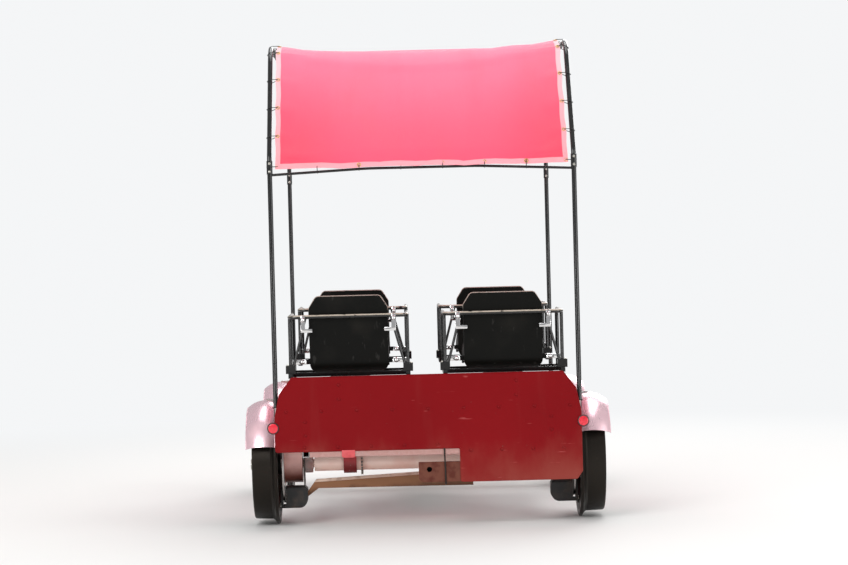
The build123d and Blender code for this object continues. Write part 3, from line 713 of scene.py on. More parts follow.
def chain_loop(name, x, crank_y, axle_y):
    length, at = chain_run(crank_y, axle_y)
    count = 2 * round(length / CHAIN_PITCH / 2)
    pitch, side = length / count, Vector((1, 0, 0))
    models = [link(pitch, 0.0040, 0.0024, 0.0050), link(pitch, 0.0028, ROLLER_R, 0.0023)]
    links = []
    for number in range(count):
        start, end = at(number * pitch), at((number + 1) * pitch)
        along = Vector((0, *(end - start))).normalized()
        turn = Matrix((along.cross(side), along, side)).transposed().to_4x4()
        links.append(copied(models[number % 2], Matrix.Translation((x, *start)) @ turn))
    for model in models:
        bpy.data.objects.remove(model)
    return joined(name, links)


chain_steel = patchy("oiled chain steel", (55, 5), (0.42, 0.7), (158, 154, 148), (58, 46, 38), (0.3, 0.2),
                     0.85, (1, 0.45), (800, 2, 0.00005, 0.4))
for name, (crank_x, crank_y, turned) in CRANKS.items():
    row, side = name.split("_")
    chain_x = crank_x + CHAIN_INSET if side == "left" else crank_x - CHAIN_INSET
    loop = chain_loop(f"{name}_roller_chain", chain_x, crank_y, AXLES_Y[row])
    settle(loop, chain_steel, 40)
    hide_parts(f"{row}_chains")


# Floor plate: aluminium tread plate between the seats, with raised bars that
# cross in pairs, screwed down to the cross beams. Shoes have polished it.
FLOOR_TOP, FLOOR_REAR, FLOOR_FRONT, TREAD_STEP, TREAD_EDGE = 0.393, -0.470, 1.230, 0.0255, 0.020


def tread_plate_finish():
    plate = Finish("aluminium tread plate", Metallic=1.0)
    dirt = plate.step(plate.noise(6, 6) + 0.3 * plate.noise(50, 3), 0.5, 0.9)
    plate.set(Base_Color=plate.mix(dirt * 0.7, (200, 201, 203), (136, 118, 104)),
              Metallic=1 - 0.6 * dirt, Roughness=0.3 + 0.35 * dirt)
    plate.relief(plate.noise(350, 4), 0.0001, 0.4)
    return plate


def tread_bar(turn):
    """One raised bar of the tread, on its origin, tapered to its top and turned about +Z."""
    bar = drum(8, 0.012, 0.0014)
    bar.scale, bar.rotation_euler.z = (1, 0.26, 1), turn
    bpy.ops.object.transform_apply(rotation=True, scale=True)
    pick(bar, "FACE", lambda middle, normal: normal.z > 0.9)
    bpy.ops.transform.resize(value=(0.7, 0.7, 1))
    leave(bar)
    return bar


tread_plate = tread_plate_finish()
coat(tread_plate, "floor_plate")
tread_rows = range(int((FLOOR_FRONT - FLOOR_REAR - TREAD_EDGE) / TREAD_STEP))
leans = [set_out(tread_bar(pi / 4 + lean * pi / 2), "tread_bars", [
    ((column * TREAD_STEP, FLOOR_REAR + TREAD_EDGE + line * TREAD_STEP, FLOOR_TOP), (0, 0, 1))
    for line in tread_rows for column in range(-4, 5) if (line + column) % 2 == lean]) for lean in (0, 1)]
settle(joined("tread_bars", leans), tread_plate, 20)
screws = both_sides(0.118, BEAMS[2:5], FLOOR_TOP, (0, 0, 1))
bolt_down("floor_screws", 0.010, 0.004, screws)


# Fenders: domed stainless sheet over each wheel, rolled at its rim and riveted
# to a bar from the side rail. Polished, with road dust low down.
FENDER_ARCS = {"rear_left": (40, 160), "rear_right": (40, 152),
               "front_left": (30, 150), "front_right": (30, 150)}
FENDER_RIMS, FENDER_STEPS, STAY_TOP = ((0.698, 0.285), (0.830, 0.263)), 28, 0.577


def polished_sheet_finish():
    sheet = Finish("polished stainless sheet", Metallic=1.0)
    brushed = sheet.noise(700, 2, (1, 0.03, 0.03))
    up = sheet.axes()[2]
    dust = sheet.step(sheet.noise(7, 5) + 0.9 * (0.52 - up), 0.52, 0.95)
    # The pink of both shades is a painted reflection of the red canopy and red panel.
    sheet.set(Base_Color=sheet.mix(dust * 0.5, (250, 212, 221), (216, 172, 170)),
              Metallic=0.72 - 0.4 * dust, Roughness=0.22 + 0.1 * brushed + 0.3 * dust)
    sheet.relief(brushed, 0.00004, 0.5)
    sheet.relief(sheet.noise(9, 2), 0.0015, 0.25)
    return sheet


def dome_rivet(radius):
    rivet = begin("rivet model", bpy.ops.mesh.primitive_uv_sphere_add, segments=14, ring_count=8,
                  radius=radius)
    pick(rivet, "FACE", lambda middle, normal: middle.z < 0)
    bpy.ops.mesh.delete(type="FACE")
    bpy.ops.mesh.select_all(action="SELECT")
    bpy.ops.transform.resize(value=(1, 1, 0.5))
    leave(rivet)
    return rivet


polished_sheet = polished_sheet_finish()
rivet_steel = mottled("stainless rivets", 80, (196, 192, 188), (228, 225, 222), (0.24, 0.2, 150),
                      Metallic=1.0)
coat(polished_sheet, "rear_fenders", "front_fenders")
for name, (low, high) in FENDER_ARCS.items():
    row, side = name.split("_")
    sign, axle_y, rims = (-1 if side == "left" else 1), AXLES_Y[row], []
    turns = [radians(low + (high - low) * k / FENDER_STEPS) for k in range(FENDER_STEPS + 1)]
    for x, radius in FENDER_RIMS:
        edge = [(sign * x, axle_y + radius * cos(turn), AXLE_Z + radius * sin(turn)) for turn in turns]
        rims.append(beading("rim", edge, 0.0024))
    settle(joined(f"{name}_fender_rim", rims), polished_sheet, 50)
stay_rivets = [((side * x, axle_y + along, STAY_TOP), (0, 0, 1)) for axle_y in AXLES_Y.values()
               for side in (-1, 1) for x in (0.708, 0.734) for along in (-0.008, 0.008)]
fit("fender_rivets", dome_rivet(0.0042), stay_rivets, rivet_steel, 50)


# Rear panel: red painted sheet, folded round a wire at its rim and riveted to
# the beams and stays behind it, with a round red lens on each shoulder.
PANEL_FACE_Y, PANEL_RIM_Y = -1.229, -1.2275
PANEL_CORNERS = ((-0.690, 0.357), (0.142, 0.357), (0.142, 0.205), (0.666, 0.205), (0.690, 0.239),
                 (0.690, 0.440), (0.690, 0.510), (0.668, 0.615), (0.612, 0.690), (-0.612, 0.690),
                 (-0.668, 0.615), (-0.690, 0.510), (-0.690, 0.440))


def panel_finish():
    red = Finish("red panel paint", Coat_Roughness=0.25, Specular_IOR_Level=0.09)
    up = red.axes()[2]
    fade = red.noise(2.2, 3)
    dust = red.step(red.noise(5, 6, (1, 1, 0.5)) + 1.1 * (0.42 - up), 0.50, 0.95)
    streak = red.step(red.noise(16, 4, (1, 1, 0.08)), 0.56, 0.8)
    scratch = red.step(red.noise(60, 2, (0.15, 1, 1.4)), 0.70, 0.73) * red.step(red.noise(8, 2), 0.45, 0.6)
    chips = red.step(red.noise(110, 4), 0.745, 0.76)
    paint = red.mix(fade, (113, 5, 12), (131, 11, 18))
    paint = red.mix(streak * 0.16, paint, (128, 54, 50))
    paint = red.mix(dust * 0.5, paint, (150, 84, 72))
    paint = red.mix(scratch * 0.35, paint, (206, 110, 108))
    red.set(Base_Color=red.mix(chips, paint, (92, 78, 72)), Coat_Weight=0.06 - 0.05 * dust,
            Roughness=0.34 + 0.25 * dust + 0.1 * streak)
    red.relief(red.noise(380, 2), 0.00015, 0.35)
    red.relief(red.noise(3.2, 1), 0.004, 0.35)
    return red


def panel_trim(end, corners, rim_y, rivets):
    """The wire-edged rim round a panel's corners, and its rivets."""
    rim = rounded([(x, rim_y, z) for x, z in corners], 0.010, closed=True, steps=4)
    settle(beading(f"{end}_panel_rim", rim, 0.0030, closed=True), panel_red, 60)
    fit(f"{end}_panel_rivets", dome_rivet(0.0065), rivets, panel_red, 50)


panel_red = panel_finish()
coat(panel_red, "rear_panel", "front_panel")
panel_rivets = [(x / 100, 0.537) for x in range(-64, 65, 16)]
panel_rivets += [(side * 0.400, z) for side in (-1, 1) for z in (0.590, 0.655)]
panel_rivets += [(x / 100, 0.375) for x in range(-56, 8, 15)] + [(x / 100, 0.345) for x in range(19, 64, 14)]
panel_rivets += [(side * 0.555, z) for side in (-1, 1) for z in (0.430, 0.490)]
panel_trim("rear", PANEL_CORNERS, PANEL_RIM_Y, [((x, PANEL_FACE_Y, z), (0, -1, 0)) for x, z in panel_rivets])


def lens_finish():
    lens = Finish("red reflector lens", Roughness=0.08, Coat_Weight=1.0, Coat_Roughness=0.04)
    prisms = lens.cells(260)
    lens.set(Base_Color=lens.mix(prisms * 1.2, (255, 34, 62), (196, 10, 34)))
    lens.relief(prisms, 0.0008, 0.8)
    return lens


def reflector_lens():
    """Domed lens with a stepped edge, looking along +Z."""
    lens = drum(48, 0.0225, 0.0036)
    pick(lens, "FACE", lambda middle, normal: normal.z > 0.9)
    for shrink, lift in ((0.0016, 0.0007), (0.004, 0.0006), (0.005, 0.0004), (0.006, 0.0002)):
        bpy.ops.mesh.inset(thickness=shrink)
        bpy.ops.transform.translate(value=(0, 0, lift))
    leave(lens)
    return lens


REFLECTOR_SPOTS = both_sides(0.700, [PANEL_FACE_Y], 0.465, (0, -1, 0))
lenses = fit("reflector_lenses", reflector_lens(), REFLECTOR_SPOTS, lens_finish(), 30)
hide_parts("rear_reflectors")
trim_black = mottled("black moulded trim", 60, (20, 20, 21), (38, 37, 37), (0.38, 0.2, 90),
                     Specular_IOR_Level=0.5)
ring = begin("ring", bpy.ops.mesh.primitive_torus_add, major_segments=56, minor_segments=10,
             major_radius=0.0238, minor_radius=0.0024, location=(0, 0, 0.0030))
fit("reflector_rings", ring, REFLECTOR_SPOTS, trim_black, 60)


# Front panel: the same red sheet across the front end, with cut upper corners
# and one row of rivets along its lower edge.
FRONT_FACE_Y, FRONT_RIM_Y = 1.235, 1.2337
FRONT_CORNERS = ((-0.560, 0.345), (0.560, 0.345), (0.560, 0.500), (0.510, 0.560), (-0.510, 0.560),
                 (-0.560, 0.500))
front_rivets = [((x / 100, FRONT_FACE_Y, 0.365), (0, 1, 0)) for x in range(-52, 53, 13)]
panel_trim("front", FRONT_CORNERS, FRONT_RIM_Y, front_rivets)


# Axle collars: forged rings clamped on the rear axle, painted red. The same red
# is on a tie plate with its bolt on the end beam, above the left collar.


def collar_finish():
    red = Finish("red collar paint", Specular_IOR_Level=0.45)
    up = red.axes()[2]
    worn = red.step(red.noise(70, 5), 0.64, 0.70)
    # high: the paint is painted light red above the axle and dark red below it, as painted light and painted
    # shade.
    high = red.step(up + 0.02 * red.noise(20), AXLE_Z - 0.02, AXLE_Z + 0.055)
    red.set(Base_Color=red.mix(worn, red.mix(high, (112, 12, 16), (206, 82, 86)), (126, 112, 104)),
            Metallic=worn * 0.8, Roughness=0.42 + 0.15 * red.noise(50))
    red.relief(red.noise(300, 3), 0.0002, 0.5)
    return red


collar_red = collar_finish()
coat(collar_red, "rear_axle_collars")
# The tie plate sits above the axle, so it takes the collar paint's painted light red.
tie = block("beam_tie_plate", (0.060, 0.034, 0.005), (0, 0, 0.0025))
pick(tie, "EDGE", lambda middle, way: abs(way.z) > 0.9 and middle.y < 0)
bpy.ops.mesh.bevel(offset=0.010, segments=5)
leave(tie)
bevel(tie, 0.0010, 2)
tie.rotation_euler, tie.location = (pi / 2, 0, 0), (-0.363, -1.226, 0.342)
settle(tie, collar_red)
tie_bolt = [((-0.363, -1.231, 0.340), (0, -1, 0))]
fit("beam_tie_bolt", bolt_head(0.010, 0.004), tie_bolt, collar_red)


# Seats: bucket shells moulded in black polypropylene, leather-grained, with a
# rolled lip round their upper edge, bolted down through the pan.
SEAT_SPOTS = {"rear_left": (-0.350, -1.150), "rear_right": (0.350, -1.150),
              "front_left": (-0.350, 0.030), "front_right": (0.350, 0.030)}
SEAT_FLOOR, SEAT_BOLTS_Y = 0.706, (0.090, 0.290)
SEAT_LIP = ((0.175, 0.396, 0.012), (0.175, 0.352, 0.069), (0.175, 0.048, 0.118), (0.175, 0.009, 0.292),
            (0.143, -0.006, 0.344))


def seat_finish():
    shell = Finish("black moulded seat", Specular_IOR_Level=0.13)
    grain = shell.cells(620)
    dust = shell.step(shell.noise(7, 5), 0.5, 0.85)
    scuff = shell.step(shell.noise(46, 4, (1, 1, 0.3)), 0.64, 0.72)
    paint = shell.mix(dust * 0.22, (7, 7, 5), (54, 50, 44))
    shell.set(Base_Color=shell.mix(scuff * 0.2, paint, (80, 78, 76)),
              Roughness=0.42 + 0.2 * dust + 0.1 * shell.noise(30))
    shell.relief(grain, 0.00025, 0.5)
    return shell


def seat_lip_finish():
    """The shell's black, with a pale painted highlight along the top of the back."""
    lip = Finish("rubbed seat lip", Specular_IOR_Level=0.2)
    up = lip.axes()[2]
    # pale: a painted highlight where the lip's top catches the sky, broken up by noise.
    pale = lip.step(up, 0.975, 1.005) * (1 - 0.4 * lip.step(lip.noise(40, 4), 0.5, 0.7))
    lip.set(Base_Color=lip.mix(pale, (15, 15, 15), (176, 158, 148)),
            Roughness=0.45 + 0.15 * lip.noise(60))
    lip.relief(lip.cells(620), 0.0002, 0.4)
    return lip


seat_sides = [(x, y, side) for x, y in SEAT_SPOTS.values() for side in (-1, 1)]


def beside_seats(out, alongs, z, way=(0, 0, 1)):
    """Spots on both sides of each seat, out from its middle; the way that they look is the right side's."""
    return [((x + side * out, y + along, z), (side * way[0], *way[1:])) for x, y, side in seat_sides
            for along in alongs]


seat_black, seat_lip_black = seat_finish(), seat_lip_finish()
for name, (seat_x, seat_y) in SEAT_SPOTS.items():
    coat(seat_black, f"{name}_seat")
    corners = [(seat_x + side * x, seat_y + y, SEAT_FLOOR + z)
               for side, lip in ((1, SEAT_LIP), (-1, SEAT_LIP[::-1])) for x, y, z in lip]
    lip = rounded(corners, [0.02, 0.05, 0.03, 0.02, 0.02, 0.02, 0.02, 0.03, 0.05, 0.02])
    settle(beading(f"{name}_seat_lip", lip, 0.0058, sides=4), seat_lip_black, 60)
bolt_down("seat_bolts", 0.012, 0.0055, beside_seats(0.110, SEAT_BOLTS_Y, SEAT_FLOOR + 0.006))


# Seat frames: bent and welded steel tube round the back and under the arms,
# painted gloss black, with chromed clips, spacers and brackets that hold the
# shell, and a ball nut on each.
ARM_HALF, ARM_TOP, LEG_FOOT_Z = 0.266, 0.962, 0.742
CLIP_OUT, CLIP_BACK, CLIP_Z = 0.205, 0.0485, 0.938
BRACKET_OUT, BRACKET_Z, BRACKET_TURN = 0.2185, 0.757, 0.32
SPACER_OUT, SPACER_Z, SPACER_LENGTH = 0.169, 0.900, 0.0345


def tube_paint_finish(name, highlight_height=None):
    """Gloss black, with a pale painted highlight along the top of the tubes above a height."""
    gloss = Finish(name, Coat_Weight=0.7, Coat_Roughness=0.08, Specular_IOR_Level=0.3)
    dust = gloss.step(gloss.noise(9, 5), 0.5, 0.85)
    chips = gloss.step(gloss.noise(120, 4), 0.77, 0.79)
    paint = gloss.mix(dust * 0.25, (12, 12, 13), (70, 64, 60))
    paint = gloss.mix(chips, paint, (110, 96, 88))
    if highlight_height:
        up = gloss.axes()[2]
        # Along the tubes' tops the paint is painted pale, broken by noise: a painted highlight, not wear.
        top = gloss.step(up, highlight_height + 0.0005, highlight_height + 0.0050)
        worn = top * gloss.step(gloss.noise(30, 4), 0.30, 0.46)
        paint = gloss.mix(worn * 0.85, paint, (200, 188, 172))
    gloss.set(Base_Color=paint, Roughness=0.26 + 0.3 * dust + 0.2 * chips)
    gloss.relief(gloss.noise(420, 2), 0.0001, 0.3)
    return gloss


def chrome_finish():
    chrome = Finish("chrome plate", Metallic=1.0)
    chrome.set(Base_Color=chrome.mix(chrome.noise(60, 3), (232, 232, 234), (204, 202, 200)),
               Roughness=0.06 + 0.12 * chrome.step(chrome.noise(90, 4), 0.5, 0.75))
    return chrome


tube_black, chrome = tube_paint_finish("gloss black tube paint"), chrome_finish()
coat(tube_black, "front_posts", "rear_posts", "left_roof_tube", "right_roof_tube", "canopy_cross_bars",
     "brake_lever")
coat(tube_paint_finish("black arm paint with painted highlight", ARM_TOP), *[f"{name}_seat_frame" for name in SEAT_SPOTS])


def weld_ring(radius, bead):
    """Rippled bead round a tube's foot, in the plane of its origin."""
    ring = begin("weld model", bpy.ops.mesh.primitive_torus_add, major_segments=44, minor_segments=6,
                 major_radius=radius, minor_radius=bead)
    for point in ring.data.vertices:
        turn = atan2(point.co.y, point.co.x)
        out = hypot(point.co.x, point.co.y) - radius
        swell = 1 + 0.28 * cos(22 * turn)
        flat = Vector((cos(turn), sin(turn), 0)) * (radius + out * swell)
        point.co = flat + Vector((0, 0, point.co.z * swell))
    return ring


def back_clip(side):
    """Chromed strip down from the tube, its foot turned in toward the shell."""
    clip = block("clip", (0.020, 0.0030, 0.060), (0, 0, 0))
    pick(clip, "FACE", lambda middle, normal: normal.z < -0.9)
    extrude(0, 0, -0.016)
    pick(clip, "FACE", lambda middle, normal: normal.x * side < -0.9 and middle.z < -0.031)
    extrude(-side * 0.032, 0, 0)
    leave(clip)
    bevel(clip, 0.0011, 2)
    return clip


def ball_nut():
    """Chromed ball nut on its neck, looking along +Z."""
    ball = begin("ball", bpy.ops.mesh.primitive_uv_sphere_add, segments=24, ring_count=16, radius=0.0115,
                 location=(0, 0, 0.013))
    bpy.ops.object.transform_apply(location=True)
    pick(ball, "FACE", lambda middle, normal: normal.z < -0.93)
    extrude(0, 0, -0.004)
    leave(ball)
    return ball


clips, brackets = [], []
for x, y, side in seat_sides:
    clips.append(back_clip(side))
    clips[-1].location = (x + side * CLIP_OUT, y - CLIP_BACK, CLIP_Z)
settle(joined("seat_back_clips", clips), chrome)
spacer = drum(24, 0.0055, SPACER_LENGTH)
bevel(spacer, 0.0006, 1)
spacer_spots = beside_seats(SPACER_OUT, [-0.0480], SPACER_Z, (0, 1, 0))
clip_nuts = beside_seats(CLIP_OUT, [-0.0500], CLIP_Z + 0.012, (0, -1, 0))
fit("seat_back_spacers", spacer, spacer_spots, chrome)
fit("seat_ball_nuts", ball_nut(), clip_nuts, chrome, 50)
for x, y, side in seat_sides:
    place = (x + side * BRACKET_OUT, y + 0.010, BRACKET_Z)
    brackets.append(block("bracket", (0.089, 0.003, 0.022), place, -side * BRACKET_TURN))
    bevel(brackets[-1], 0.0011, 2)
settle(joined("seat_side_brackets", brackets), chrome)
bracket_nuts = beside_seats(0.217, [0.0085], BRACKET_Z, (-0.30, -1, 0))
leg_feet, foot_bolts = (beside_seats(ARM_HALF + out, [-0.004], LEG_FOOT_Z) for out in (0, 0.014))
post_bolts = beside_seats(0.065, SEAT_BOLTS_Y, 0.680, (0, 0, -1))
fit("seat_bracket_nuts", ball_nut(), bracket_nuts, chrome, 50)
fit("seat_leg_welds", weld_ring(0.0085, 0.0024), leg_feet, tube_black, 60)
bolt_down("seat_foot_bolts", 0.008, 0.004, foot_bolts)
bolt_down("seat_post_bolts", 0.013, 0.006, post_bolts)


# Roof posts and tubes: black steel tube, the bent roof tube sleeved onto each
# post, and cross bars welded between them. The rear bar bows up a little.
POST_X, REAR_POST_Y, FRONT_POST_Y, SLEEVE_Z = 0.686, -1.206, 0.944, 1.640
ROOF_Z, ROOF_BARS_Y = 2.210, (-0.250, 0.260, 0.770)


def sleeve():
    """Socket round the joint of post and tube, with a beaded mouth at each end."""
    tube = drum(32, 0.0135, 0.060, -0.030, end_fill_type="NOTHING")
    pick(tube, "EDGE", lambda middle, way: abs(middle.z) > 0.029)
    bpy.ops.mesh.extrude_edges_move()
    bpy.ops.transform.resize(value=(0.84, 0.84, 1.03))
    leave(tube)
    return tube


post_spots = [(side * POST_X, y) for side in (-1, 1) for y in (REAR_POST_Y, FRONT_POST_Y)]
sleeve_spots = [((x, y, SLEEVE_Z), (0, 0, 1)) for x, y in post_spots]
sleeve_screws = [((x, y - 0.0130, SLEEVE_Z + lift), (0, -1, 0))
                 for x, y in post_spots for lift in (-0.018, 0.018)]
foot_welds = [spot for y, z in ((REAR_POST_Y, 0.557), (FRONT_POST_Y, 0.366))
              for spot in both_sides(POST_X, [y], z, (0, 0, 1))]
bar_welds = [((side * (POST_X - 0.0105), y, ROOF_Z), (-side, 0, 0)) for y in ROOF_BARS_Y for side in (-1, 1)]
fit("post_sleeves", sleeve(), sleeve_spots, tube_black)
bolt_down("sleeve_screws", 0.006, 0.003, sleeve_screws)
fit("post_foot_welds", weld_ring(0.0115, 0.0030), foot_welds, tube_black, 60)
fit("roof_bar_welds", weld_ring(0.0100, 0.0024), bar_welds, tube_black, 60)


# Canopy: one piece of coated awning cloth over the roof and down the sloping
# back, hemmed all round. It is held at its eyelets and over the cross bars, and
# cloth simulation and shallow creases shape what lies between.
CANOPY_HALF, CANOPY_LIFT, CANOPY_FRONT = 0.660, 0.0119, 0.790
COLUMNS, ROWS, EYELET_ROWS, HEM_COLUMNS = 56, 98, 7, 8
SAG_CAP, CLOTH_FRAMES, WIDE_CREASE, FINE_CREASE = 0.010, 30, 0.0080, 0.0030
THREAD, STITCH, HEM = 0.0024, 0.007, 0.0220
SLOPE_OUT = Vector((0, -0.81, 0.58))
# Run along the cloth from its rear hem, and the dip at mid-width there
CANOPY_SAGS = ((0, 0), (0.078, 0.004), (0.340, 0.019), (0.606, 0.029), (0.691, 0.031), (0.776, 0.029),
               (1.010, 0.020), (1.260, 0), (1.515, 0.012), (1.770, 0), (2.025, 0.012), (2.280, 0), (2.310, 0))
canopy_line = rounded([(0, REAR_POST_Y, 1.632), (0, REAR_POST_Y, 1.680), (0, -0.826, ROOF_Z),
                       (0, CANOPY_FRONT, ROOF_Z)], [0, 0.100, 0.180, 0], steps=12)
canopy_runs = [(b - a).length for a, b in zip(canopy_line, canopy_line[1:])]
CANOPY_LENGTH = sum(canopy_runs)


def canopy_place(share):
    """A point at a share of the roof line's length, lifted to the cloth, and the cloth's outward way."""
    run = min(max(share, 0), 1) * CANOPY_LENGTH
    for start, end, length in zip(canopy_line, canopy_line[1:], canopy_runs):
        if run <= length + 1e-9:
            along = (end - start).normalized()
            out = Vector((0, -along.z, along.y))
            return start + along * run + out * CANOPY_LIFT, out
        run -= length
    return canopy_line[-1] + Vector((0, 0, CANOPY_LIFT)), Vector((0, 0, 1))


def canopy_dip(run):
    for (start, low), (end, high) in zip(CANOPY_SAGS, CANOPY_SAGS[1:]):
        if run <= end:
            share = (run - start) / (end - start)
            return low + (high - low) * share
    return 0


def cloth_finish():
    cloth = Finish("red awning cloth", Specular_IOR_Level=0.3, Sheen_Weight=0.25, Sheen_Roughness=0.4)
    laid = cloth.node("UVMap")
    across, along = cloth.axes(laid)[:2]
    across, along = across * (2 * CANOPY_HALF), along * CANOPY_LENGTH
    side = cloth.maths("MINIMUM", across, 2 * CANOPY_HALF - across)
    edge = cloth.maths("MINIMUM", side, cloth.maths("MINIMUM", along, CANOPY_LENGTH - along))
    hem = 1 - cloth.step(edge, HEM, HEM + 0.0012)
    warp = cloth.maths("SINE", across * (2 * pi / THREAD))
    weft = cloth.maths("SINE", along * (2 * pi / THREAD))
    seam = cloth.step(edge, 0.0182, 0.0188) * (1 - cloth.step(edge, 0.0198, 0.0205))
    dash = cloth.step(cloth.maths("SINE", (across + along) * (2 * pi / STITCH)), -0.5, -0.2)
    # fade: the cloth is painted paler pink toward the roof, as painted sky light on the upward-facing part.
    fade = cloth.step(along, 0.05, 0.85)
    stain = cloth.step(cloth.noise(3.2, 5), 0.45, 0.8)
    # streak: darker vertical streaks, painted shading of soft wrinkles.
    streak = cloth.noise(7, 4, (1, 0.12, 0.12))
    red = cloth.mix(fade, (242, 86, 116), (248, 136, 166))
    red = cloth.mix(streak * 0.4, red, (238, 78, 108))
    # Redder toward the sides low on the back: painted shade.
    red = cloth.mix((1 - cloth.step(side, 0.05, 0.42)) * (1 - fade) * 0.55, red, (240, 60, 86))
    red = cloth.mix(stain * 0.22, red, (206, 92, 100))
    # The hem is painted near white, more toward the roof: a painted highlight where it catches the light.
    red = cloth.mix(hem * (0.5 + 0.35 * fade), red, (255, 208, 212))
    cloth.set(Base_Color=cloth.mix(seam * dash * 0.7, red, (255, 168, 184)),
              Roughness=0.56 + 0.1 * cloth.noise(24) + 0.06 * warp)
    cloth.relief(warp * weft, 0.00035, 0.5)
    cloth.relief(hem + seam * dash * 0.8 - seam * 0.5, 0.0011, 0.8)
    return cloth


canopy = begin("canopy_cloth", bpy.ops.mesh.primitive_grid_add, x_subdivisions=COLUMNS,
               y_subdivisions=ROWS, size=1)
held = canopy.vertex_groups.new(name="held")
thick = canopy.vertex_groups.new(name="thick")
for point in canopy.data.vertices:
    column, row = round((point.co.x + 0.5) * COLUMNS), round((point.co.y + 0.5) * ROWS)
    middle, out = canopy_place(row / ROWS)
    scallop = sin(pi * row / EYELET_ROWS) ** 2 * 0.004 * abs(2 * column / COLUMNS - 1) ** 12
    x = (2 * column / COLUMNS - 1) * (CANOPY_HALF - scallop)
    dip = canopy_dip(row / ROWS * CANOPY_LENGTH) * (1 - (x / CANOPY_HALF) ** 2)
    point.co = Vector((x, middle.y, middle.z)) - out * dip
    on_side = column in (0, 1, COLUMNS - 1, COLUMNS) and row % EYELET_ROWS == 0
    on_hem = row in (0, 1) and column % HEM_COLUMNS == 0
    on_bar = any(abs(middle.y - y) < CANOPY_LENGTH / ROWS / 1.9 for y in ROOF_BARS_Y) and middle.z > ROOF_Z
    if on_side or on_hem or on_bar:
        held.add([point.index], 1, "REPLACE")
    doubled = min(column, COLUMNS - column, row, ROWS - row) < 1
    thick.add([point.index], 1 if doubled else 0.45, "REPLACE")
resting = [point.co.copy() for point in canopy.data.vertices]
alone(canopy)
cloth = canopy.modifiers.new("cloth", "CLOTH")
for word, value in {"quality": 7, "mass": 0.25, "tension_stiffness": 60, "compression_stiffness": 60,
                    "shear_stiffness": 20, "bending_stiffness": 2.5, "tension_damping": 12,
                    "shear_damping": 12, "air_damping": 4, "shrink_min": -0.0035,
                    "vertex_group_mass": "held"}.items():
    setattr(cloth.settings, word, value)
cloth.collision_settings.use_collision = False
for moment in range(1, CLOTH_FRAMES + 1):
    bpy.context.scene.frame_set(moment)
bpy.ops.object.modifier_apply(modifier="cloth")
bpy.context.scene.frame_set(1)
for point, rest in zip(canopy.data.vertices, resting):
    moved = point.co - rest
    if moved.length > SAG_CAP:
        moved *= SAG_CAP / moved.length
    on_slope = rest.z < ROOF_Z
    crease = noise.noise(Vector((rest.x * 9, rest.y * 1.6, rest.z * 1.6))) * WIDE_CREASE
    crease += noise.noise(Vector((rest.x * 23 + 7, rest.y * 2.5, rest.z * 2.5))) * FINE_CREASE
    crease *= (1 if on_slope else 0.45) * (1 - (abs(rest.x) / CANOPY_HALF) ** 6)
    out = SLOPE_OUT if on_slope else Vector((0, 0, 1))
    if any(abs(rest.y - y) < 0.03 for y in ROOF_BARS_Y) and rest.z > ROOF_Z:
        point.co = Vector((rest.x, rest.y, ROOF_Z + CANOPY_LIFT))
    else:
        point.co = rest + moved + out * crease
modify(canopy, "SOLIDIFY", thickness=0.0030, offset=0, vertex_group="thick", thickness_vertex_group=0.1)
settle(canopy, cloth_finish(), 60)
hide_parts("canopy_fabric")


# Lacing: brass eyelets in the hem, and a loop of black braided cord from each
# to the tube beside it, or to the rear bar below the back hem.
EYELET_INSET = 0.0115
REAR_BAR_LOW, REAR_BAR_RISE, REAR_BAR_FLAT = 1.606, 0.020, 0.250


def cord_finish():
    cord = Finish("black braided cord", Sheen_Weight=0.15, Specular_IOR_Level=0.25)
    braid = cord.node("TexWave", {"bands_direction": "DIAGONAL"}, {"Scale": 260, "Vector": cord.point})
    cord.set(Base_Color=cord.mix(braid, (20, 20, 21), (48, 47, 47)), Roughness=0.8)
    cord.relief(braid, 0.0004, 0.7)
    return cord


ring = begin("eyelet", bpy.ops.mesh.primitive_torus_add, major_segments=24, minor_segments=8,
             major_radius=0.0072, minor_radius=0.0021)
ring.scale.z = 0.9
bpy.ops.object.transform_apply(scale=True)
eyelet_spots, loops, eye_x = [], [], CANOPY_HALF - EYELET_INSET
for side in (-1, 1):
    for row in range(0, ROWS + 1, EYELET_ROWS):
        inset = EYELET_INSET / CANOPY_LENGTH
        middle, out = canopy_place(min(max(row / ROWS, inset), 1 - inset))
        eyelet_spots.append(((side * eye_x, middle.y, middle.z), out))
        loop = [(eye_x, 0.0032), (POST_X, 0.0030), (0.7010, -0.0119), (POST_X, -0.0265), (eye_x, -0.0035)]
        loops.append([Vector((side * x, 0, 0)) + middle + out * lift for x, lift in loop])
for column in range(HEM_COLUMNS, COLUMNS, HEM_COLUMNS):
    x = (2 * column / COLUMNS - 1) * CANOPY_HALF
    middle, out = canopy_place(EYELET_INSET / CANOPY_LENGTH)
    eyelet_spots.append(((x, middle.y, middle.z), out))
    bar_z = REAR_BAR_LOW + REAR_BAR_RISE * min(1, (POST_X - abs(x)) / (POST_X - REAR_BAR_FLAT))
    loops.append([Vector((x, y, z)) for y, z in (
        (middle.y - 0.0032, middle.z), (middle.y - 0.0032, middle.z - 0.015), (REAR_POST_Y, bar_z - 0.0085),
        (REAR_POST_Y + 0.0085, bar_z), (middle.y + 0.0035, middle.z))])
brass = patchy("brass eyelets", (120, 4), (0.45, 0.75), (214, 180, 110), (120, 92, 60), (0.25, 0.25), 0.6,
               Metallic=1.0)
eyelets = fit("canopy_eyelets", ring, eyelet_spots, brass, 60)
lashings = [beading("lashing", rounded(loop, 0.0035, closed=True, steps=3), 0.0015, closed=True, sides=2)
            for loop in loops]
settle(joined("canopy_lashings", lashings), cord_finish(), 60)


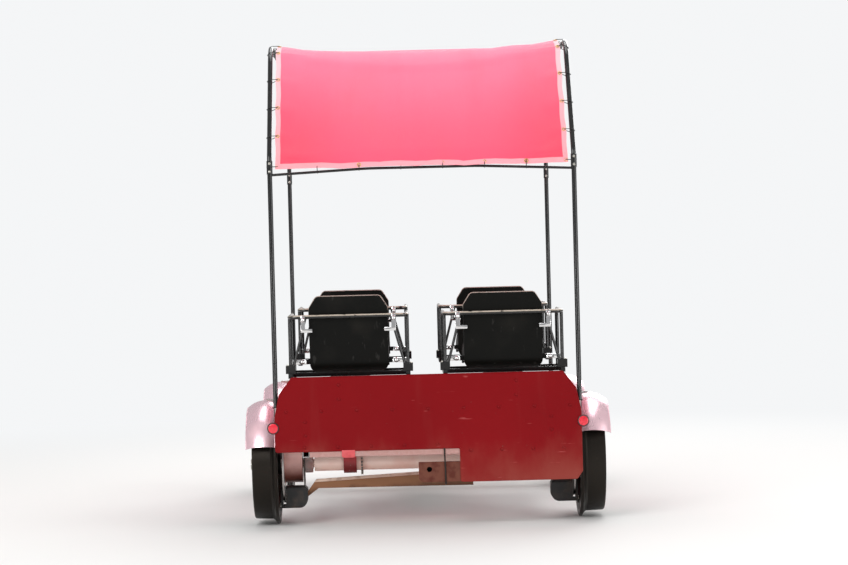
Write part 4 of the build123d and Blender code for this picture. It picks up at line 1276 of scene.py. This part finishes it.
# Brake lever: a steel rod in a clamp on the left rail, with two bolts through
# the clamp and a ribbed rubber grip on the rod's end.
LEVER_FOOT, LEVER_TOP = Vector((-0.555, -0.730, 0.390)), Vector((-0.640, -0.755, 0.720))
GRIP_LENGTH, GRIP_RIBS, GRIP_ROUNDED, GRIP_END = 0.130, 11, 0.93, 0.0701
lever_way = (LEVER_TOP - LEVER_FOOT).normalized()


def grip(length, radius):
    """Rubber sleeve with ribs and a rounded end, standing on its origin."""
    sleeve = begin("grip", bpy.ops.mesh.primitive_grid_add, x_subdivisions=28, y_subdivisions=66, size=1)
    for point in sleeve.data.vertices:
        turn, share = (point.co.x + 0.5) * 2 * pi, point.co.y + 0.5
        size = radius * (1 - 0.10 * abs(cos(GRIP_RIBS * pi * share)))
        if share > GRIP_ROUNDED:
            size *= (1 - ((share - GRIP_ROUNDED) / GRIP_END) ** 2) ** 0.5
        point.co = Vector((cos(turn) * size, sin(turn) * size, share * length))
    modify(sleeve, "WELD", merge_threshold=0.0001)
    pick(sleeve, "EDGE", lambda middle, way: middle.z < 0.0001)
    bpy.ops.mesh.edge_face_add()
    leave(sleeve)
    return sleeve


rubber = mottled("ribbed grip rubber", 40, (22, 22, 22), (46, 44, 43), (0.66, 0.15, 90), (800, 0.0001, 0.5),
                 Specular_IOR_Level=0.3)
grip_spot = [(LEVER_TOP - 0.126 * lever_way, lever_way)]
fit("brake_lever_grip", grip(GRIP_LENGTH, 0.0140), grip_spot, rubber, 60)
clamp = block("brake_lever_clamp", (0.030, 0.060, 0.029), (LEVER_FOOT.x, LEVER_FOOT.y, 0.4045))
bevel(clamp, 0.004, 3)
settle(clamp, cast_black)
clamp_bolts = [((LEVER_FOOT.x, LEVER_FOOT.y + along, 0.419), (0, 0, 1)) for along in (-0.021, 0.021)]
bolt_down("brake_lever_clamp_bolts", 0.007, 0.004, clamp_bolts)


# Studio: a pale floor that fades into the background, soft lights, and the
# camera low behind the car, a little to the left of its middle.
BACKGROUND = (0.91, 0.92, 0.93, 1)
ground = begin("studio_floor", bpy.ops.mesh.primitive_plane_add, size=120)
floor_paint = Finish("pale studio floor", Roughness=0.9, Specular_IOR_Level=0.1)
floor_paint.set(Base_Color=(232, 231, 229))
east, north = floor_paint.axes()[:2]
away = floor_paint.step((east ** 2 + north ** 2) ** 0.5, 2.2, 6.5)
seen = floor_paint.node("LightPath")
glow = floor_paint.node("Emission", {}, {"Color": BACKGROUND, "Strength": 1.0})
base = Wire(floor_paint, floor_paint.shader)
faded = floor_paint.node("MixShader", {}, {0: away * seen, 1: base, 2: glow})
floor_paint.feed(floor_paint.tree.nodes["Material Output"].inputs["Surface"], faded)
ground.data.materials.append(floor_paint.material)


def softbox(name, place, aim, size, power):
    bpy.ops.object.light_add(type="AREA", location=place)
    lamp = bpy.context.object
    lamp.name, lamp.data.size, lamp.data.energy = name, size, power
    lamp.rotation_euler = (Vector(aim) - Vector(place)).to_track_quat("-Z", "Y").to_euler()


softbox("key_softbox", (-5.0, -9.0, 6.5), (0, -0.6, 1.0), 6.0, 560)
softbox("fill_softbox", (7.0, -5.0, 3.5), (0, -0.2, 1.0), 6.0, 230)
softbox("low_left_softbox", (-4.5, -6.0, 0.4), (0, -0.9, 0.27), 1.6, 55)
softbox("low_right_softbox", (4.5, -6.0, 0.4), (0, -0.9, 0.27), 1.6, 55)
softbox("top_softbox", (0.5, 1.5, 8.0), (0, 0, 1.0), 6.0, 330)
softbox("front_softbox", (3.0, 9.0, 5.0), (0, 0, 1.0), 6.0, 380)

room = bpy.data.worlds.new("studio")
bpy.context.scene.world = room
room.use_nodes = True
nodes, links = room.node_tree.nodes, room.node_tree.links
rays, strength = nodes.new("ShaderNodeLightPath"), nodes.new("ShaderNodeMapRange")
links.new(rays.outputs["Is Camera Ray"], strength.inputs["Value"])
strength.inputs["To Min"].default_value, strength.inputs["To Max"].default_value = 0.5, 1.0
nodes["Background"].inputs["Color"].default_value = BACKGROUND
links.new(strength.outputs[0], nodes["Background"].inputs["Strength"])

bpy.ops.object.camera_add(location=(-0.12, -12.79, 1.306))
camera = bpy.context.object
aim = Vector((0.0, -0.9, 1.10)) - camera.location
roll = Matrix.Rotation(radians(-1.45), 3, "Z").to_quaternion()
camera.rotation_euler = (aim.to_track_quat("-Z", "Y") @ roll).to_euler()
camera.data.lens, camera.data.sensor_width = 109, 36
bpy.context.scene.camera = camera
bpy.context.scene.view_settings.view_transform = "Standard"
